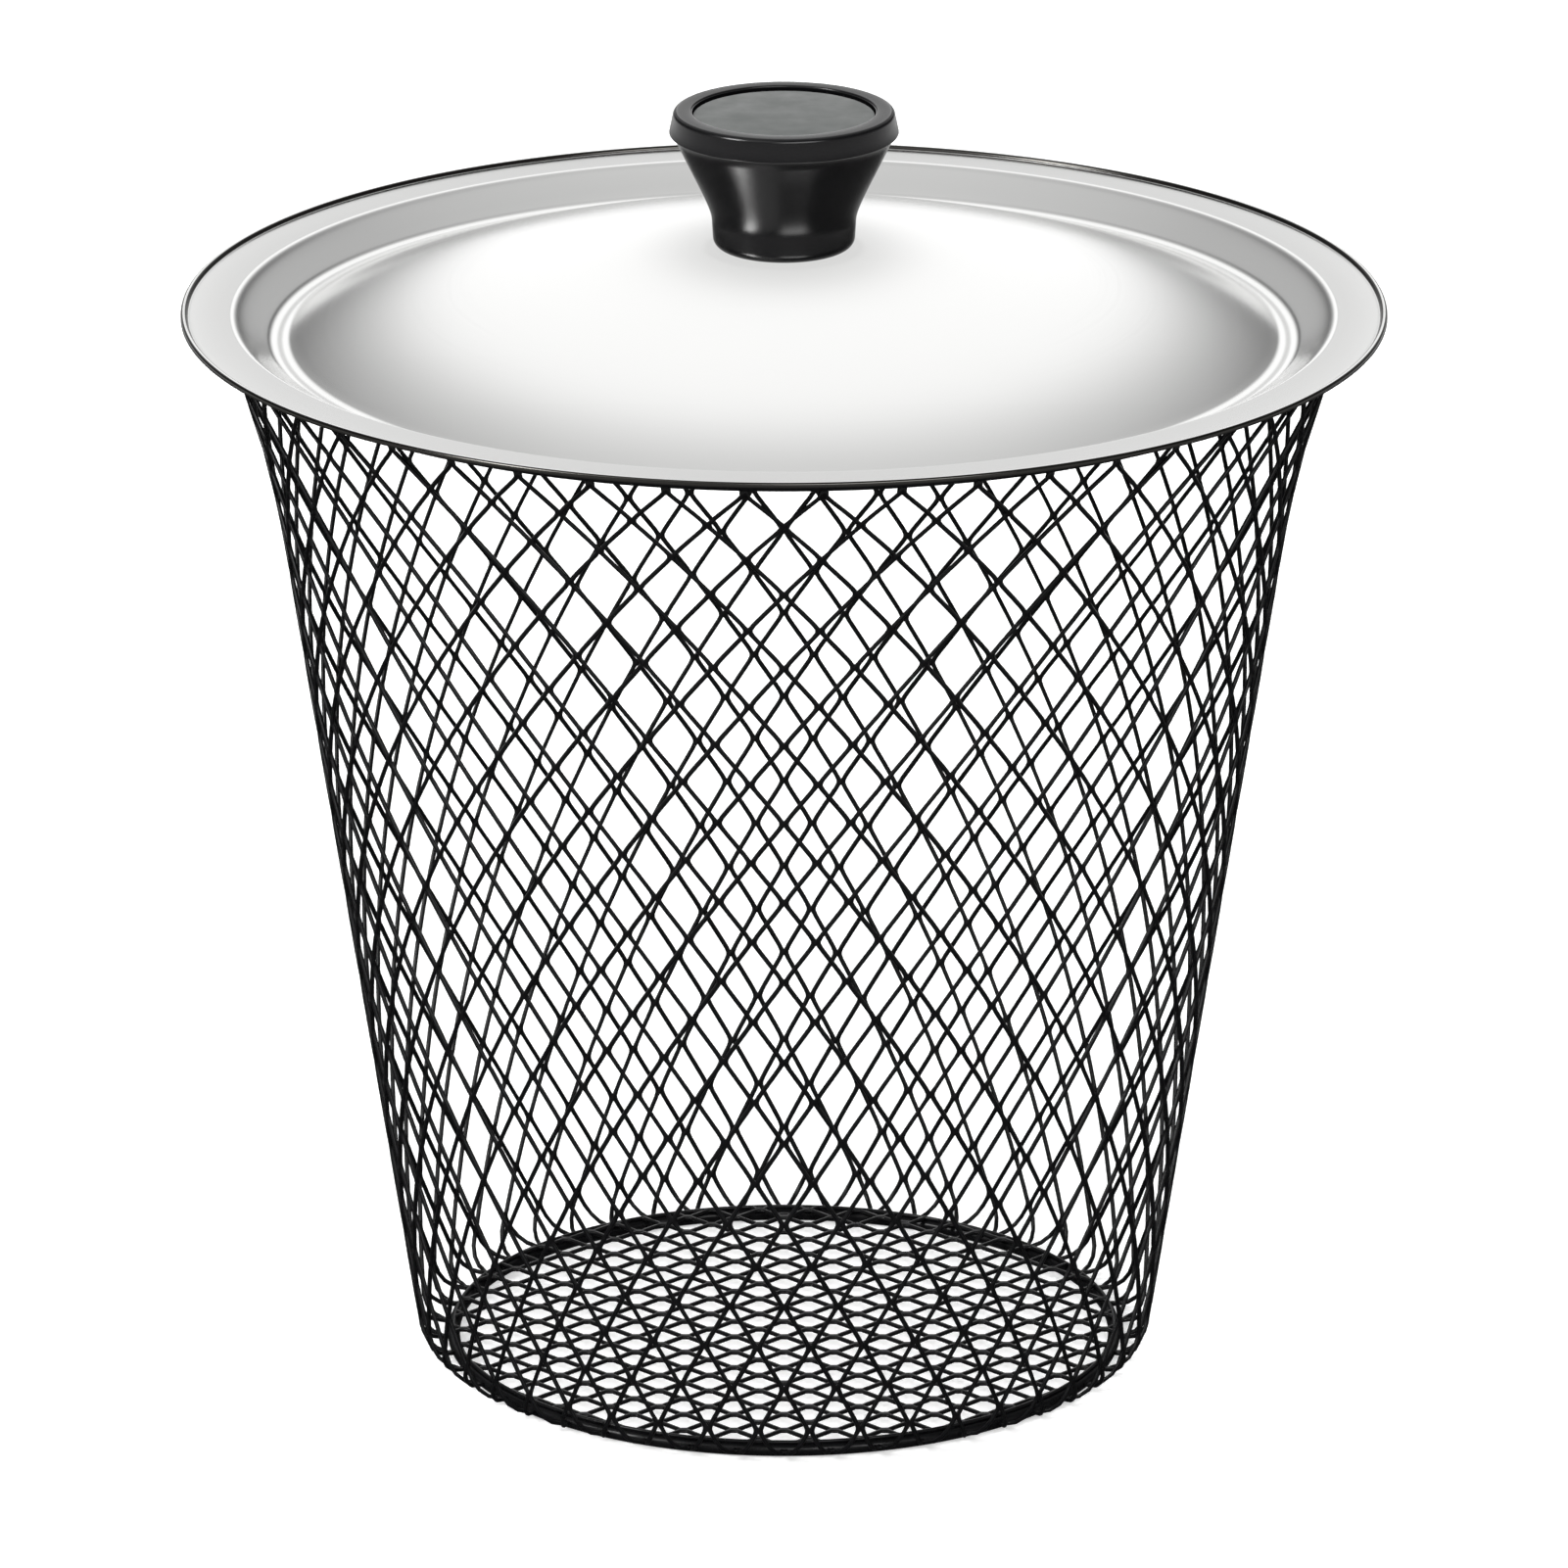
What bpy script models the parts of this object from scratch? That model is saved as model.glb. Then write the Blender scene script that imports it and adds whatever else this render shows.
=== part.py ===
"""Underground compost basket: a tapered open basket of diamond steel mesh, hung between a rim
hoop and a base ring, closed by a loose domed stainless lid with a moulded knob.

Metres, +Z up. The origin is on the ground, on the basket's axis. The lid's pieces hang from
an empty on the rim's seat plane, because the lid lifts straight off along that axis.
"""

import math

import bmesh
import bpy
from mathutils import Vector

# Clearance between two pieces that touch, or that are welded, on the real basket
GAP = 0.0003

# Basket
HEIGHT = 0.260  # ground to the top of the rim hoop, where the lid sits
RIM_OUTER_D = 0.270
RIM_WIRE_D = 0.0032
FLARE_HEIGHT = 0.055  # from the end of the straight wall up to the rim
FLARE_OUT = 0.016  # from the end of the straight wall out to the rim
BASE_RING_D = 0.161  # across the centre line of the wire
BASE_WIRE_D = 0.003
FOOT_OUT = 0.0072  # the straight wall, carried down to the ground, outside that centre line
RING_SIDES = 8

# Mesh of the wall
STRAND_W = 0.0010  # across the face of a strand
STRAND_T = 0.0008  # through the sheet
WALL_CELL_W = 0.0182  # width of a diamond at the rim
STRAND_PITCH = 0.0127  # along a strand, from one crossing to the next
END_LOOP_W = 0.0022  # flat of the loop where a strand turns back at an edge
LEAST_RISE = 0.25  # least height of half a diamond, as a share of the strand pitch
GROUND_CLEARANCE = 0.0004  # the base ring alone stands on the ground

# Mesh of the floor
FLOOR_CELL_W = 0.0120
FLOOR_CELL_D = 0.0104
SELVAGE_INSET = 0.0016  # strand ends stop this far inside the selvage

# Lid
LID_OVERHANG = 0.0083  # flange past the outside of the rim hoop
LID_SHEET = 0.0006
LID_SHOULDER_PLAY = 0.0012  # from the flange's bend out to the inside of the rim hoop
GROOVE_INSET = 0.0112  # from that bend in to the bottom of the groove
GROOVE_DEPTH = 0.0065
GROOVE_R = 0.0058
SHOULDER_RUN = 0.0012  # the groove's wall has turned level this far outside the bend
SHOULDER_START = 0.7  # how far up the groove's wall the turn is pulled, as a share
DOME_RISE = 0.0152  # flange to the flat land under the knob
LAND_D = 0.0360
HEM_R = 0.00045  # centre line of the safe edge, which is folded under
HEM_RETURN = 0.0024

# Knob
KNOB_HEIGHT = 0.0334
KNOB_BASE_D = 0.0338
KNOB_NECK_D = 0.0342
KNOB_NECK_HEIGHT = 0.0062
KNOB_FLARE = 0.47  # how far the stem's cone leans out for each millimetre of height
KNOB_CONE = 0.6  # upper share of the stem's height that follows that cone
KNOB_WAIST = 0.17  # lower share that stays upright
KNOB_THROAT_D = 0.0516  # top of the flared stem, under the head
KNOB_HEAD_D = 0.0544
KNOB_HEAD_DRAFT = 0.0008  # the head is this much narrower at the top, at each side
KNOB_BAND = 0.0056  # height of the head's upright band
KNOB_UNDERCUT = 0.0012  # height of the step from the stem out to the head
KNOB_EDGE_R = 0.0013
KNOB_FOOT_R = 0.0016
CAP_D = 0.0430
CAP_T = 0.0009
CAP_RECESS = 0.0012  # top of the cap below the top of the knob
CAP_EDGE = 0.0005  # chamfer round the mouth of the cap's recess
BUSH_D = 0.0080
BUSH_LENGTH = 0.0120
SCREW_D = 0.0050
SCREW_LENGTH = 0.0120
SCREW_HEAD_D = 0.0095
SCREW_HEAD_H = 0.0026
SCREW_HEAD_FLAT = 0.72  # flat middle of the head, as a share of its width
SCREW_HEAD_BEVEL = 0.45  # height of the slope round it, as a share of the head's
SCREW_POINT = 0.0006  # chamfer at the end of the shank
SCREW_SLOT_W = 0.0012
SCREW_SLOT_DEPTH = 0.0011
WASHER_D = 0.0150
WASHER_T = 0.0010

CUT_OVER = 0.002  # a cutter reaches this far past what it cuts
MITRE_LIMIT = 0.35  # least cosine of half a corner's turn that a mitre is drawn out for

# Facets
ROUND_STEPS = 40  # round the rim, base ring and lid
KNOB_STEPS = 28
SCREW_STEPS = 12
CORNER_STEPS = 3  # down the rounded foot of the wall
STRAIGHT_STEPS = 5
FLARE_STEPS = 2
DOME_STEPS = 5
GROOVE_STEPS = 4
SHOULDER_STEPS = 3
HEM_STEPS = 4
EDGE_STEPS = 2  # round the knob's foot and the top edge of its head
STEM_STEPS = 6  # up the knob's flared stem
SMOOTH_ANGLE = math.radians(35)

# Colours of the painted steel, the stainless sheet and the plastics
BLACK_PAINT = (0.012, 0.012, 0.013)
STAINLESS = (0.72, 0.72, 0.71)
BLACK_PLASTIC = (0.010, 0.010, 0.011)
CAP_GREY = (0.055, 0.058, 0.056)
BRASS = (0.70, 0.52, 0.24)
ZINC = (0.60, 0.61, 0.62)


def make_material(name, colour, roughness, metallic):
    material = bpy.data.materials.new(name)
    material.use_nodes = True
    shader = material.node_tree.nodes["Principled BSDF"]
    shader.inputs["Base Color"].default_value = (*colour, 1.0)
    shader.inputs["Roughness"].default_value = roughness
    shader.inputs["Metallic"].default_value = metallic
    return material


def add_part(name, mesh, material, parent):
    """Links a finished bmesh as one named part under its parent empty."""
    bmesh.ops.recalc_face_normals(mesh, faces=mesh.faces)
    data = bpy.data.meshes.new(name)
    mesh.to_mesh(data)
    mesh.free()
    data.materials.append(material)
    data.shade_smooth()
    data.set_sharp_from_angle(angle=SMOOTH_ANGLE)
    part = bpy.data.objects.new(name, data)
    bpy.context.scene.collection.objects.link(part)
    part.parent = parent
    return part


def add_empty(name, height):
    empty = bpy.data.objects.new(name, None)
    empty.location.z = height
    bpy.context.scene.collection.objects.link(empty)
    return empty


def arc(centre, radius, start, end, steps):
    """Points (r, z) of an arc about centre, from angle start to angle end."""
    turns = [start + (end - start) * i / steps for i in range(steps + 1)]
    return [(centre[0] + radius * math.cos(a), centre[1] + radius * math.sin(a)) for a in turns]


def bezier(p0, p1, p2, p3, steps):
    """Points (r, z) of a cubic curve, with both ends."""
    points = []
    for i in range(steps + 1):
        t = i / steps
        weights = ((1 - t) ** 3, 3 * t * (1 - t) ** 2, 3 * t * t * (1 - t), t**3)
        points.append(tuple(sum(w * p[k] for w, p in zip(weights, (p0, p1, p2, p3))) for k in (0, 1)))
    return points


def turned(profile, steps, closed=True):
    """A solid turned about Z from points (r, z). An open profile starts and ends on the axis."""
    mesh = bmesh.new()
    verts = [mesh.verts.new((r, 0.0, z)) for r, z in profile]
    pairs = list(zip(verts, verts[1:]))
    if closed:
        pairs.append((verts[-1], verts[0]))
    edges = [mesh.edges.new(pair) for pair in pairs]
    bmesh.ops.spin(
        mesh, geom=verts + edges, axis=(0, 0, 1), cent=(0, 0, 0), angle=2 * math.pi, steps=steps,
        use_merge=True,
    )
    bmesh.ops.remove_doubles(mesh, verts=mesh.verts, dist=1e-7)
    return mesh


def wire_ring(centre_d, wire_d, bottom):
    """A hoop of wire with flats above, below and at both sides of its section."""
    corner_r = wire_d / 2 / math.cos(math.pi / RING_SIDES)
    centre = (centre_d / 2, bottom + wire_d / 2)
    first = math.pi / RING_SIDES
    section = arc(centre, corner_r, first, first + 2 * math.pi, RING_SIDES)[:-1]
    return turned(section, ROUND_STEPS)


def strand(points, normals, width, thickness, closed):
    """A flat strand swept along points, its wide face square to each point's normal."""
    mesh = bmesh.new()
    count = len(points)
    rings = []
    for i, point in enumerate(points):
        before = points[i - 1] if closed or i else point
        after = points[(i + 1) % count] if closed or i + 1 < count else point
        came = (point - before).normalized()
        goes = (after - point).normalized()
        along = (came + goes).normalized()
        across = along.cross(normals[i]).normalized()
        up = across.cross(along)
        # A mitred corner is wider than the strand by this much
        mitre = 1.0
        if came.length and goes.length:
            mitre = 1.0 / max(math.cos(came.angle(goes) / 2), MITRE_LIMIT)
        side = across * (width / 2 * mitre)
        face = up * (thickness / 2)
        corners = (point + side + face, point - side + face, point - side - face, point + side - face)
        rings.append([mesh.verts.new(corner) for corner in corners])
    last = count if closed else count - 1
    for i in range(last):
        here, there = rings[i], rings[(i + 1) % count]
        for k in range(4):
            mesh.faces.new((here[k], here[(k + 1) % 4], there[(k + 1) % 4], there[k]))
    if not closed:
        mesh.faces.new(rings[0])
        mesh.faces.new(rings[-1])
    return mesh


def wall_stations():
    """Points down the middle of the wall, as (radius, height, normal r, normal z), from foot to rim.

    A rounded foot turns in under the wall to the base ring, the straight wall leans out to the
    neck, and the flare is an arc that meets the wall smoothly and ends under the rim hoop.
    """
    neck = (RIM_OUTER_D / 2 - FLARE_OUT, HEIGHT - FLARE_HEIGHT)
    ground_r = BASE_RING_D / 2 + FOOT_OUT
    lean = math.atan2(neck[0] - ground_r, neck[1])
    end_r = (BASE_RING_D + BASE_WIRE_D + STRAND_W) / 2 + GAP
    low_z = GROUND_CLEARANCE + STRAND_T + (STRAND_T + GAP) / 2
    room = ground_r + math.tan(lean) * low_z - end_r
    foot_r = room / (1 / math.cos(lean) - math.tan(lean))
    foot_centre = (end_r, low_z + foot_r)
    foot = [
        (r, z, (r - foot_centre[0]) / foot_r, (z - foot_centre[1]) / foot_r)
        for r, z in arc(foot_centre, foot_r, -math.pi / 2, -lean, CORNER_STEPS)
    ]
    wall_normal = (math.cos(lean), -math.sin(lean))
    start_r, start_z = foot[-1][:2]
    straight = []
    for i in range(1, STRAIGHT_STEPS + 1):
        t = i / STRAIGHT_STEPS
        straight.append((start_r + (neck[0] - start_r) * t, start_z + (neck[1] - start_z) * t, *wall_normal))
    top = ((RIM_OUTER_D - RIM_WIRE_D) / 2 - STRAND_T, HEIGHT - RIM_WIRE_D - GAP - STRAND_W)
    reach = (top[0] - neck[0], top[1] - neck[1])
    out = reach[0] * wall_normal[0] + reach[1] * wall_normal[1]
    flare_r = (reach[0] ** 2 + reach[1] ** 2) / (2 * out)
    flare_turn = 2 * math.asin(out / math.hypot(*reach))
    flare = []
    for i in range(1, FLARE_STEPS + 1):
        tilt = lean + flare_turn * i / FLARE_STEPS
        normal = (math.cos(tilt), -math.sin(tilt))
        r = neck[0] + flare_r * (wall_normal[0] - normal[0])
        z = neck[1] + flare_r * (wall_normal[1] - normal[1])
        flare.append((r, z, *normal))
    return foot + straight + flare


def strand_advance(stations, cells_round):
    """How far round a strand has gone at each station, as a share, and how many crossings it makes.

    A strand keeps the same length between crossings, so where the basket narrows the diamonds
    close up sideways and grow taller, as stretched mesh does.
    """
    crossings = [0.0]
    for low, high in zip(stations, stations[1:]):
        half_cell = math.pi * (low[0] + high[0]) / 2 / cells_round
        least = STRAND_PITCH * LEAST_RISE
        rise = math.sqrt(max(STRAND_PITCH**2 - half_cell**2, least**2))
        crossings.append(crossings[-1] + math.dist(low[:2], high[:2]) / rise)
    total = round(crossings[-1])
    # The legs close into one endless strand only when these counts share no factor
    while math.gcd(total, cells_round) > 1:
        total += 1
    return [c / crossings[-1] for c in crossings], total


def wall_mesh():
    """One endless strand that runs down and up the wall all the way round, turning at both edges.

    Every leg down lies in the outer layer and every leg up in the inner one, so the two sets
    cross face to face, where the real mesh is bonded.
    """
    cells_round = round(math.pi * (RIM_OUTER_D - RIM_WIRE_D) / WALL_CELL_W)
    stations = wall_stations()
    shares, crossings = strand_advance(stations, cells_round)
    leg_turn = crossings * math.pi / cells_round
    top_loop = END_LOOP_W / 2 / stations[-1][0]
    foot_loop = END_LOOP_W / 2 / stations[0][0]
    layer = (STRAND_T + GAP) / 2
    points, normals = [], []
    for leg in range(2 * cells_round):
        down = leg % 2 == 0
        order = range(len(stations) - 1, -1, -1) if down else range(len(stations))
        for i in order:
            r, z, normal_r, normal_z = stations[i]
            inner_turn = leg_turn - top_loop - foot_loop
            if down:
                turn = top_loop + inner_turn * (1 - shares[i])
            else:
                turn = foot_loop + inner_turn * shares[i]
            angle = leg * leg_turn + turn
            offset = layer if down else -layer
            c, s = math.cos(angle), math.sin(angle)
            out = r + offset * normal_r
            points.append(Vector((out * c, out * s, z + offset * normal_z)))
            normals.append(Vector((normal_r * c, normal_r * s, normal_z)))
    return strand(points, normals, STRAND_W, STRAND_T, closed=True)


def floor_rows(direction, pitch, end_r):
    """Parallel rows across the floor as one back-and-forth line of (x, y) points."""
    along = Vector((math.cos(direction), math.sin(direction)))
    across = Vector((-along.y, along.x))
    count = int(2 * end_r / pitch - 0.5) + 1
    offsets = [(i - (count - 1) / 2) * pitch for i in range(count)]
    halves = [math.sqrt(end_r**2 - offset**2) for offset in offsets]
    line = []
    for i, offset in enumerate(offsets):
        forward = 1 if i % 2 == 0 else -1
        start = min(halves[i], halves[i - 1]) if i else halves[i]
        end = min(halves[i], halves[i + 1]) if i + 1 < count else halves[i]
        line.append(across * offset - along * (forward * start))
        line.append(across * offset + along * (forward * end))
    return line


def floor_mesh():
    """Two layers of slanting rows and the selvage that joins them, laid as one strand."""
    slant = math.atan2(FLOOR_CELL_D, FLOOR_CELL_W)
    pitch = FLOOR_CELL_W * math.sin(slant)
    selvage_r = BASE_RING_D / 2
    end_r = selvage_r - SELVAGE_INSET
    low_z = BASE_WIRE_D + GAP + STRAND_T / 2
    high_z = low_z + STRAND_T + GAP
    lower = floor_rows(slant, pitch, end_r)
    upper = floor_rows(-slant, pitch, end_r)
    leaves = math.atan2(lower[-1].y, lower[-1].x)
    joins = math.atan2(upper[0].y, upper[0].x)
    sweep = (joins - leaves) % (2 * math.pi)
    selvage = []
    steps = ROUND_STEPS
    for i in range(steps + 1):
        angle = leaves + sweep * i / steps
        height = low_z + (high_z - low_z) * i / steps
        selvage.append(Vector((selvage_r * math.cos(angle), selvage_r * math.sin(angle), height)))
    points = [Vector((p.x, p.y, low_z)) for p in lower]
    points += selvage
    points += [Vector((p.x, p.y, high_z)) for p in upper]
    normals = [Vector((0, 0, 1))] * len(points)
    return strand(points, normals, STRAND_W, STRAND_T, closed=False)


def cap_of_sphere(land_r, foot_r, drop):
    """Radius of the sphere through two rings drop apart, and its centre's depth below the upper."""
    depth = ((foot_r**2 - land_r**2) / drop + drop) / 2
    return math.hypot(depth, land_r), depth


def lid_line():
    """Middle of the lid's sheet as points (r, z) from the screw hole out to the safe edge.

    The dome is a cap of a sphere on the axis, cut flat at the land under the knob. It runs out
    into the groove's round bottom, and the groove's outer wall turns over into the flange.
    """
    flange_z = GAP + LID_SHEET / 2
    land_z = flange_z + DOME_RISE
    groove_z = flange_z - GROOVE_DEPTH
    hole_r = SCREW_D / 2 + GAP
    bend = RIM_OUTER_D / 2 - RIM_WIRE_D - LID_SHOULDER_PLAY
    groove_mid_r = bend - GROOVE_INSET
    land_r = LAND_D / 2
    foot_slope = math.asin(groove_mid_r / cap_of_sphere(land_r, groove_mid_r, land_z - groove_z)[0])
    # The groove's wall runs straight from the round bottom to the bend
    reach = math.hypot(GROOVE_INSET, GROOVE_DEPTH - GROOVE_R)
    wall_slope = math.atan2(GROOVE_DEPTH - GROOVE_R, GROOVE_INSET) + math.asin(GROOVE_R / reach)
    groove = arc(
        (groove_mid_r, groove_z + GROOVE_R), GROOVE_R,
        -math.pi / 2 - foot_slope, -math.pi / 2 + wall_slope, GROOVE_STEPS,
    )
    foot_r, foot_z = groove[0]
    dome_r, depth = cap_of_sphere(land_r, foot_r, land_z - foot_z)
    dome = []
    for i in range(DOME_STEPS):
        r = land_r + (foot_r - land_r) * i / DOME_STEPS
        dome.append((r, land_z - depth + math.sqrt(dome_r**2 - r**2)))
    wall_r, wall_z = groove[-1]
    pull = (
        wall_r + (bend - wall_r) * SHOULDER_START, wall_z + (flange_z - wall_z) * SHOULDER_START,
    )
    level = (bend + SHOULDER_RUN, flange_z)
    shoulder = bezier(groove[-1], pull, (bend, flange_z), level, SHOULDER_STEPS)[1:]
    hem_r = RIM_OUTER_D / 2 + LID_OVERHANG - LID_SHEET / 2 - HEM_R
    hem = arc((hem_r, flange_z - HEM_R), HEM_R, math.pi / 2, -math.pi / 2, HEM_STEPS)
    hem.append((hem_r - HEM_RETURN, flange_z - 2 * HEM_R))
    return [(hole_r, land_z)] + dome + groove + shoulder + hem


def thickened(line, thickness):
    """Closed section of a sheet whose middle follows the line."""
    above, below = [], []
    for i, (r, z) in enumerate(line):
        before = line[max(i - 1, 0)]
        after = line[min(i + 1, len(line) - 1)]
        came = Vector((r - before[0], z - before[1]))
        goes = Vector((after[0] - r, after[1] - z))
        along = (came.normalized() + goes.normalized()).normalized()
        mitre = 1.0
        if came.length and goes.length:
            mitre = 1.0 / max(math.cos(came.angle(goes) / 2), MITRE_LIMIT)
        step = Vector((-along.y, along.x)) * (thickness / 2 * mitre)
        above.append((r + step.x, z + step.y))
        below.append((r - step.x, z - step.y))
    return above + below[::-1]


def lid_shell():
    return turned(thickened(lid_line(), LID_SHEET), ROUND_STEPS)


def knob_body(base_z):
    """The moulded knob: a waisted stem that flares to a flat head with a recess for the cap."""
    top = KNOB_HEIGHT
    bore_r = BUSH_D / 2 + GAP
    bore_top = BUSH_LENGTH + GAP
    base_r = KNOB_BASE_D / 2
    neck = (KNOB_NECK_D / 2, KNOB_NECK_HEIGHT)
    band_low = top - KNOB_BAND
    throat = (KNOB_THROAT_D / 2, band_low - KNOB_UNDERCUT)
    head_r = KNOB_HEAD_D / 2
    top_r = head_r - KNOB_HEAD_DRAFT
    cap_r = CAP_D / 2 + GAP
    recess_z = top - CAP_RECESS - CAP_T - GAP
    # The stem leaves the neck upright and ends along its cone
    rise = throat[1] - neck[1]
    cone = rise * KNOB_CONE
    lower = (neck[0], neck[1] + rise * KNOB_WAIST)
    upper = (throat[0] - KNOB_FLARE * cone, throat[1] - cone)
    quarter = math.pi / 2
    profile = [(0.0, bore_top), (bore_r, bore_top), (bore_r, 0.0)]
    profile += arc((base_r - KNOB_FOOT_R, KNOB_FOOT_R), KNOB_FOOT_R, -quarter, 0.0, EDGE_STEPS)
    profile += bezier(neck, lower, upper, throat, STEM_STEPS)
    profile += [(head_r, band_low)]
    profile += arc((top_r - KNOB_EDGE_R, top - KNOB_EDGE_R), KNOB_EDGE_R, 0.0, quarter, EDGE_STEPS)
    profile += [(cap_r + CAP_EDGE, top), (cap_r, top - CAP_EDGE), (cap_r, recess_z), (0.0, recess_z)]
    return turned([(r, base_z + z) for r, z in profile], KNOB_STEPS, closed=False)


def disc(diameter, hole_d, thickness, bottom, steps):
    """A washer, or a plain disc where the hole is zero."""
    outer, inner = diameter / 2, hole_d / 2
    profile = [(inner, bottom), (outer, bottom), (outer, bottom + thickness), (inner, bottom + thickness)]
    return turned(profile, steps, closed=hole_d > 0)


def knob_screw(head_top):
    """Pan-head screw, head down, with its shank up into the knob's threaded bush."""
    head_r, shank_r = SCREW_HEAD_D / 2, SCREW_D / 2
    low = head_top - SCREW_HEAD_H
    bevel_top = low + SCREW_HEAD_H * SCREW_HEAD_BEVEL
    profile = [(0.0, low), (head_r * SCREW_HEAD_FLAT, low), (head_r, bevel_top), (head_r, head_top)]
    tip = head_top + SCREW_LENGTH
    profile += [(shank_r, head_top), (shank_r, tip - SCREW_POINT)]
    profile += [(shank_r - SCREW_POINT, tip), (0.0, tip)]
    return turned(profile, SCREW_STEPS, closed=False)


def cut_slot(screw, head_low):
    """A straight driver slot across the screw's head."""
    cutter_mesh = bmesh.new()
    bmesh.ops.create_cube(cutter_mesh, size=1.0)
    size = Vector((SCREW_HEAD_D + 2 * CUT_OVER, SCREW_SLOT_W, SCREW_SLOT_DEPTH * 2))
    bmesh.ops.scale(cutter_mesh, vec=size, verts=cutter_mesh.verts)
    bmesh.ops.translate(cutter_mesh, vec=(0, 0, head_low), verts=cutter_mesh.verts)
    data = bpy.data.meshes.new("slot_cutter")
    cutter_mesh.to_mesh(data)
    cutter_mesh.free()
    cutter = bpy.data.objects.new("slot_cutter", data)
    bpy.context.scene.collection.objects.link(cutter)
    cutter.parent = screw.parent
    cutter.hide_render = True
    cutter.display_type = "WIRE"
    cut = screw.modifiers.new("driver_slot", "BOOLEAN")
    cut.operation = "DIFFERENCE"
    cut.solver = "EXACT"
    cut.object = cutter


def build_basket():
    paint = make_material("black_painted_steel", BLACK_PAINT, 0.35, 0.3)
    basket = add_empty("basket", 0.0)
    hoop = wire_ring(RIM_OUTER_D - RIM_WIRE_D, RIM_WIRE_D, HEIGHT - RIM_WIRE_D)
    add_part("rim_hoop", hoop, paint, basket)
    add_part("wall_mesh", wall_mesh(), paint, basket)
    add_part("base_ring", wire_ring(BASE_RING_D, BASE_WIRE_D, 0.0), paint, basket)
    add_part("floor_mesh", floor_mesh(), paint, basket)


def build_lid():
    """The lid and its knob, placed from the seat plane on top of the rim hoop."""
    steel = make_material("stainless_sheet", STAINLESS, 0.22, 1.0)
    plastic = make_material("black_knob_plastic", BLACK_PLASTIC, 0.25, 0.0)
    cap_plastic = make_material("grey_cap_plastic", CAP_GREY, 0.45, 0.0)
    brass = make_material("brass", BRASS, 0.35, 1.0)
    zinc = make_material("zinc_plated_steel", ZINC, 0.35, 1.0)
    lid = add_empty("lid_lift_axis", HEIGHT)
    add_part("lid_shell", lid_shell(), steel, lid)

    land_top = GAP + LID_SHEET + DOME_RISE
    land_low = land_top - LID_SHEET
    knob_z = land_top + GAP
    add_part("knob_body", knob_body(knob_z), plastic, lid)
    cap_z = knob_z + KNOB_HEIGHT - CAP_RECESS - CAP_T
    add_part("knob_cap", disc(CAP_D, 0.0, CAP_T, cap_z, KNOB_STEPS), cap_plastic, lid)
    bush = disc(BUSH_D, SCREW_D + 2 * GAP, BUSH_LENGTH, knob_z, SCREW_STEPS)
    add_part("knob_threaded_bush", bush, brass, lid)
    washer_z = land_low - GAP - WASHER_T
    washer = disc(WASHER_D, SCREW_D + 2 * GAP, WASHER_T, washer_z, SCREW_STEPS)
    add_part("knob_washer", washer, zinc, lid)
    head_top = washer_z - GAP
    screw = add_part("knob_screw", knob_screw(head_top), zinc, lid)
    cut_slot(screw, head_top - SCREW_HEAD_H)


def main():
    for old in list(bpy.data.objects):
        bpy.data.objects.remove(old)
    build_basket()
    build_lid()


if __name__ == "__main__":
    main()
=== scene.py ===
"""Looks of an underground compost basket, laid out as a Blender add-on and run as a script.

Black enamelled diamond mesh between two wire rings, a spun stainless lid and a moulded knob are
made over the basket's construction model, in metres, with +Z up and the ground at zero.
"""

import math

import bmesh
import bpy
from bpy.props import FloatProperty, FloatVectorProperty, IntProperty, PointerProperty
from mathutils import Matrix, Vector


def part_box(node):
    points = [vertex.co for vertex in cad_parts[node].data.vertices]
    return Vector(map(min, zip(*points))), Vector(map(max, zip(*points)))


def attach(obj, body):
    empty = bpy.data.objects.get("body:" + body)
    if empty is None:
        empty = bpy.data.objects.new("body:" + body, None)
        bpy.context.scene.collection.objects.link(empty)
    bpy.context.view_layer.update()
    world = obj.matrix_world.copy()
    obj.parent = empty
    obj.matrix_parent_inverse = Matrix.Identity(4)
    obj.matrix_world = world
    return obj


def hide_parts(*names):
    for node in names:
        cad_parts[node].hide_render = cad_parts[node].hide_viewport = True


bl_info = {
    "name": "Compost Basket Looks",
    "version": (1, 0, 0),
    "blender": (4, 5, 0),
    "location": "3D View > Sidebar > Compost Basket",
    "description": "Makes the basket's mesh, wire, sheet and plastic over its construction model",
    "category": "Object",
}

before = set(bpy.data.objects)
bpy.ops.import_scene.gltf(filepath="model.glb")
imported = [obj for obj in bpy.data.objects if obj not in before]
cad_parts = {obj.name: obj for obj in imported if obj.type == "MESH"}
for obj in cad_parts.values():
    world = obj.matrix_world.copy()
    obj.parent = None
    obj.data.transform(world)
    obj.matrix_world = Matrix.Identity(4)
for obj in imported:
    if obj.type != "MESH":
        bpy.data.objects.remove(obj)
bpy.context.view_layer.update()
RIM_LOW, RIM_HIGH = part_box("rim_hoop")
BASE_LOW, BASE_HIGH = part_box("base_ring")
KNOB_LOW, KNOB_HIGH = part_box("knob_body")
CAP_LOW, CAP_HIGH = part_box("knob_cap")
WASHER_LOW, WASHER_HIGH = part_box("knob_washer")
SCREW_LOW, SCREW_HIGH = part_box("knob_screw")
BUSH_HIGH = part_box("knob_threaded_bush")[1]
LID_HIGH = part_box("lid_shell")[1]

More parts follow.
